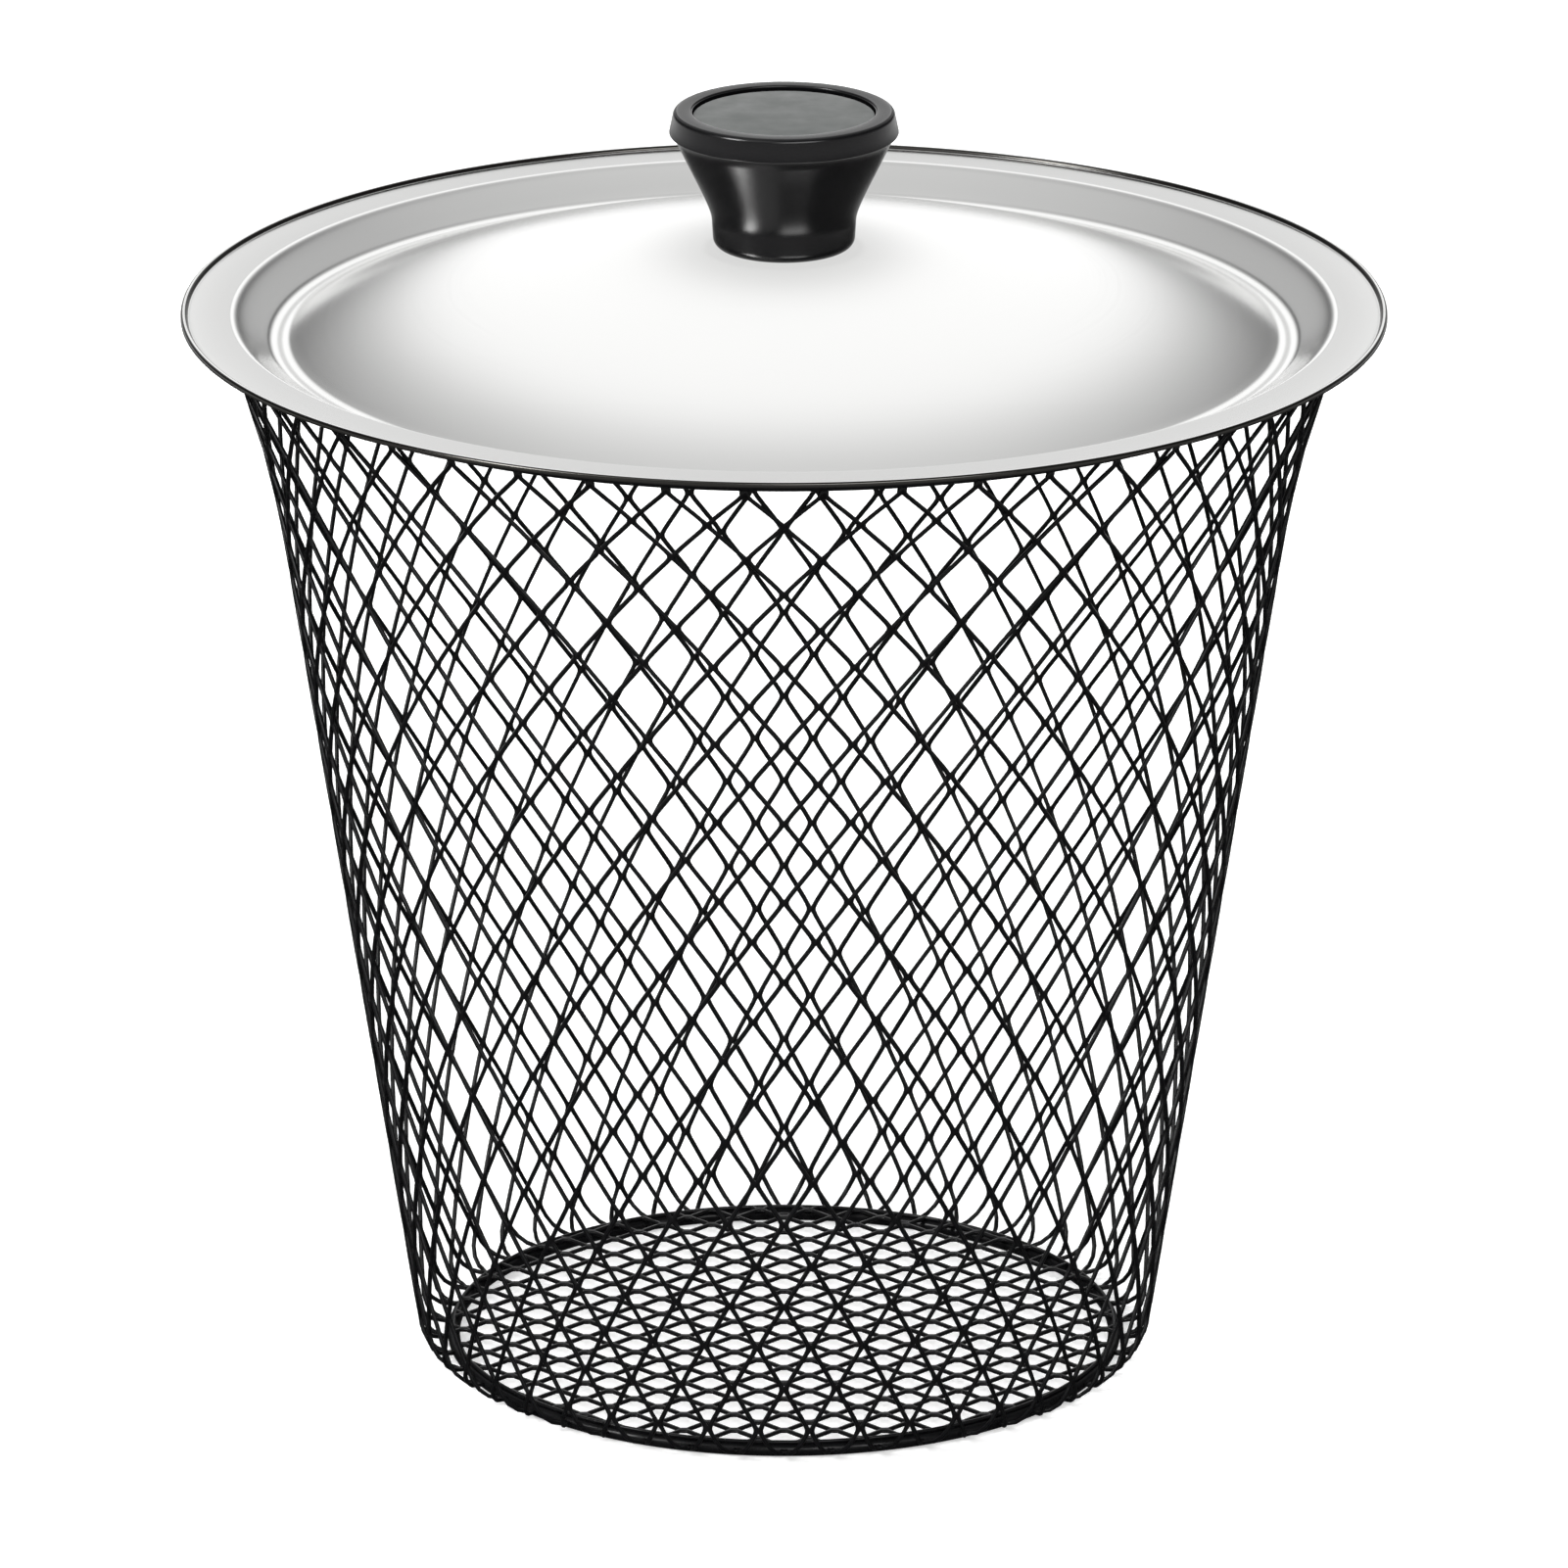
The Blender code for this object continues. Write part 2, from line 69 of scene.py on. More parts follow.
GAP = 0.0003  # the construction model keeps this between two pieces that touch
WELD = 1e-5  # vertices of a mesh grown by nodes that are this near each other are one
TURNED_WELD = 1e-7  # and those of a turned shape, such as the ones on its axis
SMOOTH_ANGLE = math.radians(35)
FULL_TURN = 2 * math.pi
QUARTER = math.pi / 2
NODE_SPACING = 190  # between two nodes in the editor
IN_PLAN = (1.0, 1.0, 0.0)  # takes the height out of a vector
MOST_NOISE = {"From Min": 0.3, "From Max": 0.7}  # most of a noise lies in this range
WHITE = (1.0, 1.0, 1.0, 1.0)
CLIP_RANGE = (0.1, 60.0)

# Steps round the axis, finer where a shape is wide and seen
LID_STEPS, RING_STEPS, KNOB_STEPS, CAP_STEPS = 256, 240, 160, 128
WASHER_STEPS, SCREW_STEPS, SELVAGE_STEPS = 72, 64, 192
DISC_SIDES, FLOOR_SIDES = 128, 96
# Steps along a section
WIRE_SIDES, SELVAGE_SIDES = 20, 10
FOOT_STEPS, WALL_STEPS, FLARE_STEPS = 40, 200, 60
DOME_STEPS, BEND_STEPS, STEM_STEPS = 60, 20, 32
ROUND_STEPS, EDGE_STEPS, CHAMFER_STEPS = 8, 6, 4
SAMPLES_PER_LEVEL = 4  # of the wall's profile, between two crossings
DISC_BLANK_DEPTH = 0.02  # the floor is cut to a disc by a blank this deep, more than any sheet


def linear(hex_colour):
    """Turns an sRGB hex colour such as "c8c7c4" into linear red, green and blue."""
    shares = [int(hex_colour[i:i + 2], 16) / 255 for i in (0, 2, 4)]
    return tuple(c / 12.92 if c <= 0.04045 else ((c + 0.055) / 1.055) ** 2.4 for c in shares)


def per_metre(millimetres):
    """Texture scale at which one feature is this many millimetres across."""
    return 1000.0 / millimetres


def length(name, description, default):
    return FloatProperty(
        name=name, description=description, default=default, precision=4, subtype="DISTANCE",
        unit="LENGTH",
    )


def colour(name, description, hex_colour):
    return FloatVectorProperty(
        name=name, description=description, default=linear(hex_colour), min=0.0, max=1.0,
        subtype="COLOR",
    )


def share(name, description, default, top=1.0):
    return FloatProperty(name=name, description=description, default=default, min=0.0, max=top)


class WallSettings(bpy.types.PropertyGroup):
    """Sizes of the wall's diamond mesh."""

    cells_round: IntProperty(
        name="Cells Round", description="Diamonds round the basket", default=46, min=8
    )
    strand_pitch: length("Strand Pitch", "Along a strand between two crossings", 0.0127)
    strand_width: length("Strand Width", "Across the face of a strand", 0.00118)
    strand_thickness: length("Strand Thickness", "Through the sheet", 0.00094)
    bond_height: length("Bond Height", "Where two strands run side by side", 0.0014)
    bend: share("Bend", "How late a strand leans over after it leaves the bond", 0.04)
    flare_height: length("Flare Height", "From the end of the straight wall to the rim", 0.055)
    flare_out: length("Flare Out", "From the end of the straight wall out to the rim", 0.016)
    foot_out: length("Foot Out", "Straight wall, at the ground, outside the base ring", 0.0072)
    ground_clearance: length("Ground Clearance", "Under the turned-in foot", 0.0004)
    rim_stub: length("Rim Stub", "Half height of the bonds at the hoop", 0.0014)
    foot_stub: length("Foot Stub", "Half height of the bonds at the base ring", 0.0012)


class FloorSettings(bpy.types.PropertyGroup):
    """Sizes of the floor's diamond mesh."""

    cell_length: length("Cell Length", "Long way of a diamond, along X", 0.0120)
    cell_width: length("Cell Width", "Short way of a diamond, along Y", 0.0104)
    bond_length: length("Bond Length", "Where two strands run side by side", 0.0020)
    selvage: length("Selvage", "Thickness of the wire round the floor", 0.0010)


class LidSettings(bpy.types.PropertyGroup):
    """Sizes of the lid's spun sheet."""

    sheet: length("Sheet", "Thickness of the stainless sheet", 0.0006)
    shoulder_play: length("Shoulder Play", "From the flange's bend to the rim hoop", 0.0012)
    groove_inset: length("Groove Inset", "From the bend in to the groove's bottom", 0.0112)
    groove_depth: length("Groove Depth", "Below the flange", 0.0065)
    groove_radius: length("Groove Radius", "Round bottom of the groove", 0.0066)
    shoulder_run: length("Shoulder Run", "From the bend out to where the sheet is level", 0.0012)
    shoulder_start: share("Shoulder Start", "How far up the groove's wall the turn is pulled", 0.7)
    dome_rise: length("Dome Rise", "From the flange up to the land", 0.0152)
    land_radius: length("Land Radius", "Flat under the knob", 0.0180)
    edge_bend: length("Edge Bend", "Middle of the sheet where the edge turns up", 0.0006)
    edge_slope: share("Edge Slope", "The edge turns up by this share of a right angle", 0.86)
    edge_radius: length("Edge Radius", "Middle of the sheet where the edge rolls over", 0.00045)
    # The rolled edge's dark is painted: shade in its crease and a dark reflection on its outer face
    crease_far: length("Crease Far", "Dark crease, its inner end to the edge's top", 0.0009)
    crease_near: length("Crease Near", "Dark crease, its outer end to the edge's top", 0.00035)
    rim_start: length("Rim Start", "Dark outer face of the edge, from the edge's top", 0.0002)
    dark_fade: length("Stain Fade", "Over this width the dark of the edge sets in", 0.00015)
    hole_radius: length("Hole Radius", "Screw hole in the land", 0.0028)


class KnobSettings(bpy.types.PropertyGroup):
    """Sizes of the moulded knob, its cap and its screw."""

    base_radius: length("Base Radius", "Foot of the knob", 0.0169)
    neck_radius: length("Neck Radius", "Where the stem starts to flare", 0.0171)
    neck_height: length("Neck Height", "Foot to neck", 0.0062)
    flare: share("Flare", "How far the stem leans out for its height", 0.47)
    cone: share("Cone", "Upper share of the stem's height that leans so", 0.6)
    waist: share("Waist", "Lower share of the stem's height that stays upright", 0.17)
    throat_radius: length("Throat Radius", "Top of the stem, under the head", 0.0258)
    band: length("Band", "Height of the head's upright band", 0.0056)
    undercut: length("Undercut", "Height of the step from stem to head", 0.0012)
    draft: length("Draft", "The head is this much narrower at its top", 0.0008)
    edge_radius: length("Edge Radius", "Round top edge of the head", 0.0013)
    foot_radius: length("Foot Radius", "Round lower edge of the knob", 0.0026)
    band_edge: length("Band Edge", "Round lower edge of the head", 0.00035)
    cap_edge: length("Cap Edge", "Round mouth of the recess", 0.0005)
    cap_round: length("Cap Round", "Round top edge of the cap", 0.0003)
    shank_radius: length("Shank Radius", "Threaded shank of the screw", 0.0025)
    tip_chamfer: length("Tip Chamfer", "End of the screw's shank", 0.0006)
    crown: share("Crown", "Round share of the screw's head, across and in height", 0.62)
    head_side: share("Head Side", "How high up the screw's head its side turns upright", 0.75)
    washer_edge: length("Washer Edge", "Chamfer of the washer's rim", 0.00015)
    slot_width: length("Slot Width", "Driver slot in the screw", 0.0012)
    slot_depth: length("Slot Depth", "Driver slot in the screw", 0.0011)


class FinishSettings(bpy.types.PropertyGroup):
    """Colours of the finishes."""

    enamel: colour("Enamel", "Black stoved enamel on the wire and mesh", "09090a")
    stainless: colour("Stainless", "Spun and polished stainless sheet", "dcdcdb")
    # Painted onto the lid's edge: painted shade in its crease and a painted dark reflection on its
    # outer face
    residue: colour("Painted Edge Dark", "Polishing residue on the lid's rolled edge", "393836")
    plastic: colour("Plastic", "Black moulded plastic of the knob", "0b0b0c")
    cap: colour("Cap", "Fine-textured plastic of the cap", "3c403e")
    brass: colour("Brass", "Turned brass of the threaded bush", "b89a5b")
    zinc: colour("Zinc", "Bright zinc plating on washer and screw", "bfc4c8")
    floor: colour("Floor", "Pale studio floor", "e6e6e6")


class StageSettings(bpy.types.PropertyGroup):
    """Camera and light."""

    camera_distance: length("Camera Distance", "Along the ground from the basket's axis", 2.98)
    camera_height: length("Camera Height", "Above the ground", 1.14)
    fill: share("Fill", "Share of the picture's height that the basket takes", 0.86)
    card_light: share("Card Light", "Brightest white card behind the basket", 1.34, top=4.0)
    strip_light: share("Strip Light", "Bright strip to the left of the camera", 40.0, top=100.0)
    key_power: FloatProperty(
        name="Key Power", description="Large soft lamp above and in front", default=9.0,
        subtype="POWER", unit="POWER",
    )
    key_size: length("Key Size", "Across the large soft lamp", 1.6)
    key_place: FloatVectorProperty(
        name="Key Place", description="Middle of the large soft lamp", default=(-0.9, -0.9, 1.9),
        subtype="TRANSLATION", unit="LENGTH",
    )
    floor_radius: length("Floor Radius", "Half width of the pale floor", 12.0)
    floor_drop: length("Floor Drop", "The floor lies this far under the basket", 0.0002)
    cloth_edge: length("Cloth Edge", "Reflections see a dark floor out to here", 0.9)
    cloth_fade: length("Cloth Fade", "From the dark floor out to the white one", 0.5)


class BasketSettings(bpy.types.PropertyGroup):
    """All that a user would change on the basket."""

    wall: PointerProperty(type=WallSettings, name="Wall")
    floor: PointerProperty(type=FloorSettings, name="Floor")
    lid: PointerProperty(type=LidSettings, name="Lid")
    knob: PointerProperty(type=KnobSettings, name="Knob")
    finish: PointerProperty(type=FinishSettings, name="Finish")
    stage: PointerProperty(type=StageSettings, name="Stage")


def feed(tree, node, inputs):
    """Sets or links a node's inputs, each named by its label, identifier or place.

    An input takes a value, a socket, a node's first output, or a list of these where it takes
    several links.
    """
    for key, given in inputs.items():
        socket = next((s for s in node.inputs if s.identifier == key), None) or node.inputs[key]
        for value in given if isinstance(given, list) else [given]:
            if isinstance(value, bpy.types.Node):
                value = next(out for out in value.outputs if out.enabled)
            if isinstance(value, bpy.types.NodeSocket):
                tree.links.new(value, socket)
            else:
                socket.default_value = value


def add_node(tree, kind, inputs=None, **settings):
    """Adds a node, applies its settings, and sets or links its inputs."""
    node = tree.nodes.new(kind)
    node.location = (len(tree.nodes) * NODE_SPACING, 0)
    for name, value in settings.items():
        setattr(node, name, value)
    feed(tree, node, inputs or {})
    return node


def ramp(tree, value, stops, low=0.0, high=1.0):
    """Follows a value through stops (value, result), eased between them."""
    mapped = add_node(
        tree, "ShaderNodeMapRange", {"Value": value, "From Min": low, "From Max": high}
    )
    node = add_node(tree, "ShaderNodeValToRGB", {"Fac": mapped})
    node.color_ramp.interpolation = "EASE"
    elements = node.color_ramp.elements
    while len(elements) < len(stops):
        elements.new(1.0)
    for element, (place, result) in zip(elements, stops):
        element.position = (place - low) / (high - low)
        element.color = (result, result, result, 1.0)
    return node


def new_material(name):
    """A node material, its tree, its Principled shader and its object coordinates."""
    material = bpy.data.materials.new(name)
    material.use_nodes = True
    tree = material.node_tree
    place = add_node(tree, "ShaderNodeTexCoord").outputs["Object"]
    return material, tree, tree.nodes["Principled BSDF"], place


def opaque(base, factor=1.0):
    """The colour as a node takes it, made lighter or darker by a factor."""
    return (*[c * factor for c in base], 1.0)


def drifting(tree, pattern, tones, roughness):
    """A colour and a roughness that drift together over a surface, as a pattern does. Each goes
    from its first to its second value."""
    tint = add_node(
        tree, "ShaderNodeMix", {"Factor_Float": pattern, "A_Color": tones[0], "B_Color": tones[1]},
        data_type="RGBA",
    )
    gloss = add_node(
        tree, "ShaderNodeMapRange",
        {"Value": pattern, **MOST_NOISE, "To Min": roughness[0], "To Max": roughness[1]},
    )
    return {"Base Color": tint, "Roughness": gloss}


def enamelled_steel(finish):
    """Stoved black enamel on steel: near black, glossy, with a faint orange peel that breaks
    each strand's highlight, and a slightly greyer film where it has pooled."""
    material, tree, shader, place = new_material("enamelled_steel")
    pooled = add_node(
        tree, "ShaderNodeTexNoise", {"Vector": place, "Scale": per_metre(9.0), "Detail": 3.0}
    )
    peel = add_node(
        tree, "ShaderNodeTexNoise", {"Vector": place, "Scale": per_metre(0.9), "Detail": 2.0}
    )
    bump = add_node(
        tree, "ShaderNodeBump", {"Strength": 0.35, "Distance": 0.00004, "Height": peel}
    )
    tones = (opaque(finish.enamel), opaque(finish.enamel, 1.7))
    feed(tree, shader, {
        **drifting(tree, pooled, tones, (0.24, 0.36)),
        "Normal": bump, "IOR": 1.5, "Specular IOR Level": 0.15,
    })
    return material


def spun_stainless(finish, lid, top_r):
    """Stainless sheet spun on a lathe and polished to satin: it mirrors only broad shapes, and
    rings from the polishing and faint hand marks change its gloss a little. The rolled edge, with
    its top at the radius top_r, is painted dark: painted shade in its crease and a painted dark
    reflection on its outer face."""
    material, tree, shader, place = new_material("spun_stainless")
    plan = add_node(tree, "ShaderNodeVectorMath", {0: place, 1: IN_PLAN}, operation="MULTIPLY")
    radius = add_node(tree, "ShaderNodeVectorMath", {0: plan}, operation="LENGTH").outputs["Value"]
    # Real polishing rings are too fine to show, so these are drawn coarser
    rings = add_node(
        tree, "ShaderNodeTexNoise", {"W": radius, "Scale": per_metre(1.1), "Detail": 1.0},
        noise_dimensions="1D",
    )
    marks = add_node(
        tree, "ShaderNodeTexNoise", {"Vector": place, "Scale": per_metre(40.0), "Detail": 2.0}
    )
    both = add_node(
        tree, "ShaderNodeMix", {"Factor_Float": 0.4, "A_Float": rings, "B_Float": marks},
        data_type="FLOAT",
    )
    gloss = add_node(
        tree, "ShaderNodeMapRange",
        {"Value": both, **MOST_NOISE, "To Min": 0.175, "To Max": 0.195},
    )
    # Painted shade in the crease and a painted dark reflection on the edge's outer face, laid on by
    # radius
    inner, outer = top_r - lid.crease_far, top_r - lid.crease_near
    rim, fade = top_r + lid.rim_start, lid.dark_fade
    painted_dark = ramp(tree, radius, (
        (inner - fade, 0.0), (inner, 1.0), (outer, 1.0), (outer + fade, 0.0),
        (rim, 0.0), (rim + fade, 1.0),
    ), low=inner - 2 * fade, high=rim + 2 * fade)
    tones = {"A_Color": opaque(finish.stainless), "B_Color": opaque(finish.residue)}
    tint = add_node(
        tree, "ShaderNodeMix", {"Factor_Float": painted_dark, **tones}, data_type="RGBA"
    )
    feed(tree, shader, {"Base Color": tint, "Metallic": 1.0, "Roughness": gloss})
    return material


def moulded_plastic(name, base, roughness, gloss_level, grain, depth):
    """Moulded plastic: its sheen drifts a little with handling, and the mould's own grain, in
    millimetres across, softens the edges of its highlights."""
    material, tree, shader, place = new_material(name)
    skin = add_node(
        tree, "ShaderNodeTexNoise", {"Vector": place, "Scale": per_metre(grain), "Detail": 3.0}
    )
    wear = add_node(
        tree, "ShaderNodeTexNoise", {"Vector": place, "Scale": per_metre(7.0), "Detail": 5.0}
    )
    bump = add_node(tree, "ShaderNodeBump", {"Strength": 0.3, "Distance": depth, "Height": skin})
    tones = (opaque(base), opaque(base, 1.25))
    feed(tree, shader, {
        **drifting(tree, wear, tones, (roughness * 0.85, roughness * 1.2)),
        "Normal": bump, "IOR": 1.54, "Specular IOR Level": gloss_level,
    })
    return material


def matte_recess(finish):
    """The same black plastic in the recess for the cap, without gloss and a little darker than
    outside
    it: painted shade, so that the gap round the cap reads as a dark line."""
    material, tree, shader, place = new_material("matte_black_plastic")
    # The grain of a spark-cut mould is too fine to show, so it is drawn coarser
    spark = add_node(
        tree, "ShaderNodeTexNoise", {"Vector": place, "Scale": per_metre(0.4), "Detail": 2.0}
    )
    # Darker than the knob's outer plastic: painted shade in the recess
    tones = {"A_Color": opaque(finish.plastic, 0.6), "B_Color": opaque(finish.plastic)}
    tint = add_node(tree, "ShaderNodeMix", {"Factor_Float": spark, **tones}, data_type="RGBA")
    feed(tree, shader, {"Base Color": tint, "Roughness": 0.9, "Specular IOR Level": 0.0})
    return material


def turned_metal(name, base, roughness, spangle):
    """Small turned parts: brass as it leaves the tool, or bright zinc plating with a clear
    passivate, whose tone drifts a little over the part."""
    material, tree, shader, place = new_material(name)
    drift = add_node(
        tree, "ShaderNodeTexNoise", {"Vector": place, "Scale": per_metre(spangle), "Detail": 3.0}
    )
    tones = (opaque(base, 0.8), opaque(base))
    feed(tree, shader, {
        **drifting(tree, drift, tones, (roughness * 0.8, roughness * 1.2)), "Metallic": 1.0,
    })
    return material


def linked(name, data):
    """A new object in the scene."""
    made = bpy.data.objects.new(name, data)
    bpy.context.scene.collection.objects.link(made)
    return made


def finish_piece(name, data, material, body, slot, *nodes):
    """Makes a mesh into a piece that rides on a body and stands for its construction nodes."""
    data.name = name
    if not data.materials:
        data.materials.append(material)
    piece = linked(name, data)
    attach(piece, body)
    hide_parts(*nodes)
    return piece


def plain_data(mesh, name):
    """Turns a bmesh into mesh data as it is."""
    data = bpy.data.meshes.new(name)
    mesh.to_mesh(data)
    mesh.free()
    return data


def to_data(mesh, name):
    """Turns a finished bmesh into mesh data, shaded smooth except at real corners."""
    bmesh.ops.recalc_face_normals(mesh, faces=mesh.faces)
    data = plain_data(mesh, name)
    data.shade_smooth()
    data.set_sharp_from_angle(angle=SMOOTH_ANGLE)
    return data


def arc(centre, radius, start, end, steps):
    """Points (r, z) of an arc about centre, from angle start to angle end."""
    turns = [start + (end - start) * i / steps for i in range(steps + 1)]
    return [(centre[0] + radius * math.cos(a), centre[1] + radius * math.sin(a)) for a in turns]


def bezier(p0, p1, p2, p3, steps):
    """Points (r, z) of a cubic curve, with both ends."""
    points = []
    for i in range(steps + 1):
        t = i / steps
        weights = ((1 - t) ** 3, 3 * t * (1 - t) ** 2, 3 * t * t * (1 - t), t**3)
        points.append(tuple(
            sum(w * p[k] for w, p in zip(weights, (p0, p1, p2, p3))) for k in (0, 1)
        ))
    return points


def turned(profile, steps, closed=True):
    """A solid turned about Z from points (r, z). An open profile starts and ends on the axis."""
    mesh = bmesh.new()
    verts = [mesh.verts.new((r, 0.0, z)) for r, z in profile]
    pairs = list(zip(verts, verts[1:]))
    if closed:
        pairs.append((verts[-1], verts[0]))
    edges = [mesh.edges.new(pair) for pair in pairs]
    bmesh.ops.spin(
        mesh, geom=verts + edges, axis=(0, 0, 1), cent=(0, 0, 0), angle=FULL_TURN, steps=steps,
        use_merge=True,
    )
    bmesh.ops.remove_doubles(mesh, verts=mesh.verts, dist=TURNED_WELD)
    return mesh


def wire_ring(low, high):
    """A hoop of round wire that fills the box of its construction node."""
    wire_r = (high.z - low.z) / 2
    section = arc((high.x - wire_r, high.z - wire_r), wire_r, 0.0, FULL_TURN, WIRE_SIDES)[:-1]
    return turned(section, RING_STEPS)


class Knuckle:
    """One crossing of a diamond mesh, where two strands run side by side through a bond and
    part above and below it.

    A vertex is an offset in metres (around, along, out) from a point on the mesh's surface, and
    its "share" says how far that point lies towards the next crossings, in half cells. The
    outline of the bond has eight points, and that of a strand six.
    """

    # Outline of the bond as (half widths of the bond, half thicknesses), with a valley between
    # the two strands
    BOND = ((-1, 0), (-0.55, 1), (0, 0.72), (0.55, 1), (1, 0), (0.55, -1), (0, -0.72), (-0.55, -1))
    # Outline of a strand as (half widths, half thicknesses), from its outer edge round the front
    STRAND = ((1, 0), (0.5, 1), (-0.5, 1), (-1, 0), (-0.5, -1), (0.5, -1))
    STEPS = (0.2, 0.5, 1.0)  # stations of a strand, as shares of the way to its middle
    DIP = 0.35  # the bond's outer edges end this share of its width nearer to its middle

    def __init__(self, width, thickness, bond, bend, reach):
        self.width = width
        self.thickness = thickness
        self.bond = bond / 2
        self.bend = bend
        self.reach = reach  # typical way from the crossing to a strand's middle, (around, along)
        self.mesh = bmesh.new()
        self.share = self.mesh.verts.layers.float_vector.new("share")

    def vert(self, position, share=(0.0, 0.0)):
        vert = self.mesh.verts.new(position)
        vert[self.share] = (*share, 0.0)
        return vert

    def bridge(self, first, second):
        """Faces from one ring of vertices to another."""
        for i in range(len(first)):
            k = (i + 1) % len(first)
            self.mesh.faces.new((first[i], first[k], second[k], second[i]))

    def bond_ring(self, along, dip=0.0):
        """Outline of the bond. Its outer edges lie dip nearer to the bond's middle."""
        ring = []
        for x, z in self.BOND:
            lowered = along - math.copysign(dip * abs(x), along)
            ring.append(self.vert((x * self.width, lowered, z * self.thickness / 2)))
        return ring

    def strand(self, ring, middle, side, way):
        """A strand from the bond's ring to its middle, to one side and one way along. It starts
        from this side's five points of the ring and the point in the ring's middle."""
        if side > 0:
            start = [ring[4], ring[3], ring[2], middle, ring[6], ring[5]]
        else:
            start = [ring[0], ring[1], ring[2], middle, ring[6], ring[7]]
        before = start
        span = (self.reach[0] - self.width / 2, self.reach[1] - self.bond)
        for t in self.STEPS:
            gone = t * (1 - self.bend * (1 - t))
            slope = 1 - self.bend * (1 - 2 * t)
            lean = math.atan2(span[0] * slope, span[1])
            # What the shares don't carry, so that a strand starts at its own half of the bond
            base = (self.width / 2 * (1 - gone), self.bond * (1 - t))
            after = []
            for x, z in self.STRAND:
                across = x * self.width / 2
                around = base[0] + across * math.cos(lean)
                along = base[1] - across * math.sin(lean)
                position = (side * around, way * along, z * self.thickness / 2)
                after.append(self.vert(position, (side * gone / 2, way * t / 2)))
            self.bridge(before, after)
            before = after

    def part(self, ring, way):
        """Splits a ring of the bond into two strands that go one way along."""
        middle = self.vert((0.0, way * self.bond, 0.0))
        for side in (-1, 1):
            self.strand(ring, middle, side, way)

    def make(self, name, above=True, below=True, stub=0.0):
        """A hidden object of the crossing. Where it has no strands it ends in a closed stub."""
        dip = self.width * self.DIP
        low = self.bond_ring(-self.bond if below else -stub, dip if below else 0.0)
        high = self.bond_ring(self.bond if above else stub, dip if above else 0.0)
        self.bridge(low, high)
        for ring, way, parts in ((low, -1, below), (high, 1, above)):
            if parts:
                self.part(ring, way)
            else:
                self.mesh.faces.new(ring)
        bmesh.ops.recalc_face_normals(self.mesh, faces=self.mesh.faces)
        data = plain_data(self.mesh, name)
        data.shade_smooth()
        return bpy.data.objects.new(name, data)


def wall_line(wall):
    """Fine points up the middle of the wall, from foot to rim, as (r, z, normal r, normal z).

    A rounded foot turns in under the wall to the base ring, the straight wall leans out to the
    neck, and the flare is an arc that meets the wall smoothly and ends under the rim hoop.
    """
    rim_wire = RIM_HIGH.z - RIM_LOW.z
    base_wire = BASE_HIGH.z - BASE_LOW.z
    neck = (RIM_HIGH.x - wall.flare_out, RIM_HIGH.z - wall.flare_height)
    ground_r = BASE_HIGH.x - base_wire / 2 + wall.foot_out
    lean = math.atan2(neck[0] - ground_r, neck[1])
    end_r = BASE_HIGH.x + wall.strand_width / 2
    # The foot's strands lie one thickness above the clearance, so their middle lies 1.5 above it
    low_z = wall.ground_clearance + wall.strand_thickness * 1.5
    room = ground_r + math.tan(lean) * low_z - end_r
    foot_r = room / (1 / math.cos(lean) - math.tan(lean))
    line = []
    for r, z in arc((end_r, low_z + foot_r), foot_r, -QUARTER, -lean, FOOT_STEPS):
        line.append((r, z, (r - end_r) / foot_r, (z - low_z - foot_r) / foot_r))
    normal = (math.cos(lean), -math.sin(lean))
    start = line[-1][:2]
    for i in range(1, WALL_STEPS + 1):
        t = i / WALL_STEPS
        line.append((
            start[0] + (neck[0] - start[0]) * t, start[1] + (neck[1] - start[1]) * t, *normal,
        ))
    top = (RIM_HIGH.x - rim_wire / 2 - wall.strand_thickness, RIM_LOW.z - wall.strand_width)
    reach = (top[0] - neck[0], top[1] - neck[1])
    out = reach[0] * normal[0] + reach[1] * normal[1]
    flare_r = (reach[0] ** 2 + reach[1] ** 2) / (2 * out)
    turn = 2 * math.asin(out / math.hypot(*reach))
    for i in range(1, FLARE_STEPS + 1):
        tilt = lean + turn * i / FLARE_STEPS
        here = (math.cos(tilt), -math.sin(tilt))
        line.append((
            neck[0] + flare_r * (normal[0] - here[0]), neck[1] + flare_r * (normal[1] - here[1]),
            *here,
        ))
    return line


def wall_profile(wall, steps):
    """The wall's line as a mesh with the same number of points between any two crossings.

    A strand keeps its length between crossings, so where the basket narrows the diamonds close
    up sideways and grow taller, as stretched mesh does.
    """
    line = wall_line(wall)
    crossings = [0.0]
    for low, high in zip(line, line[1:]):
        half_cell = math.pi * (low[0] + high[0]) / 2 / wall.cells_round
        # Where a level would be too wide for the strands, it still rises by a quarter of them
        rise = math.sqrt(max(wall.strand_pitch**2 - half_cell**2, (wall.strand_pitch / 4) ** 2))
        crossings.append(crossings[-1] + math.dist(low[:2], high[:2]) / rise)
    levels = round(crossings[-1])
    data = bpy.data.meshes.new("wall_profile")
    points, normals = [], []
    place = 0
    for i in range(levels * steps + 1):
        target = crossings[-1] * i / (levels * steps)
        while place < len(line) - 2 and crossings[place + 1] < target:
            place += 1
        t = (target - crossings[place]) / (crossings[place + 1] - crossings[place])
        r, z, normal_r, normal_z = [a + (b - a) * t for a, b in zip(line[place], line[place + 1])]
        points.append((r, 0.0, z))
        normals.append(Vector((normal_r, 0.0, normal_z)).normalized())
    data.from_pydata(points, [(i, i + 1) for i in range(len(points) - 1)], [])
    out = data.attributes.new("out", "FLOAT_VECTOR", "POINT")
    out.data.foreach_set("vector", [c for normal in normals for c in normal])
    return data, levels


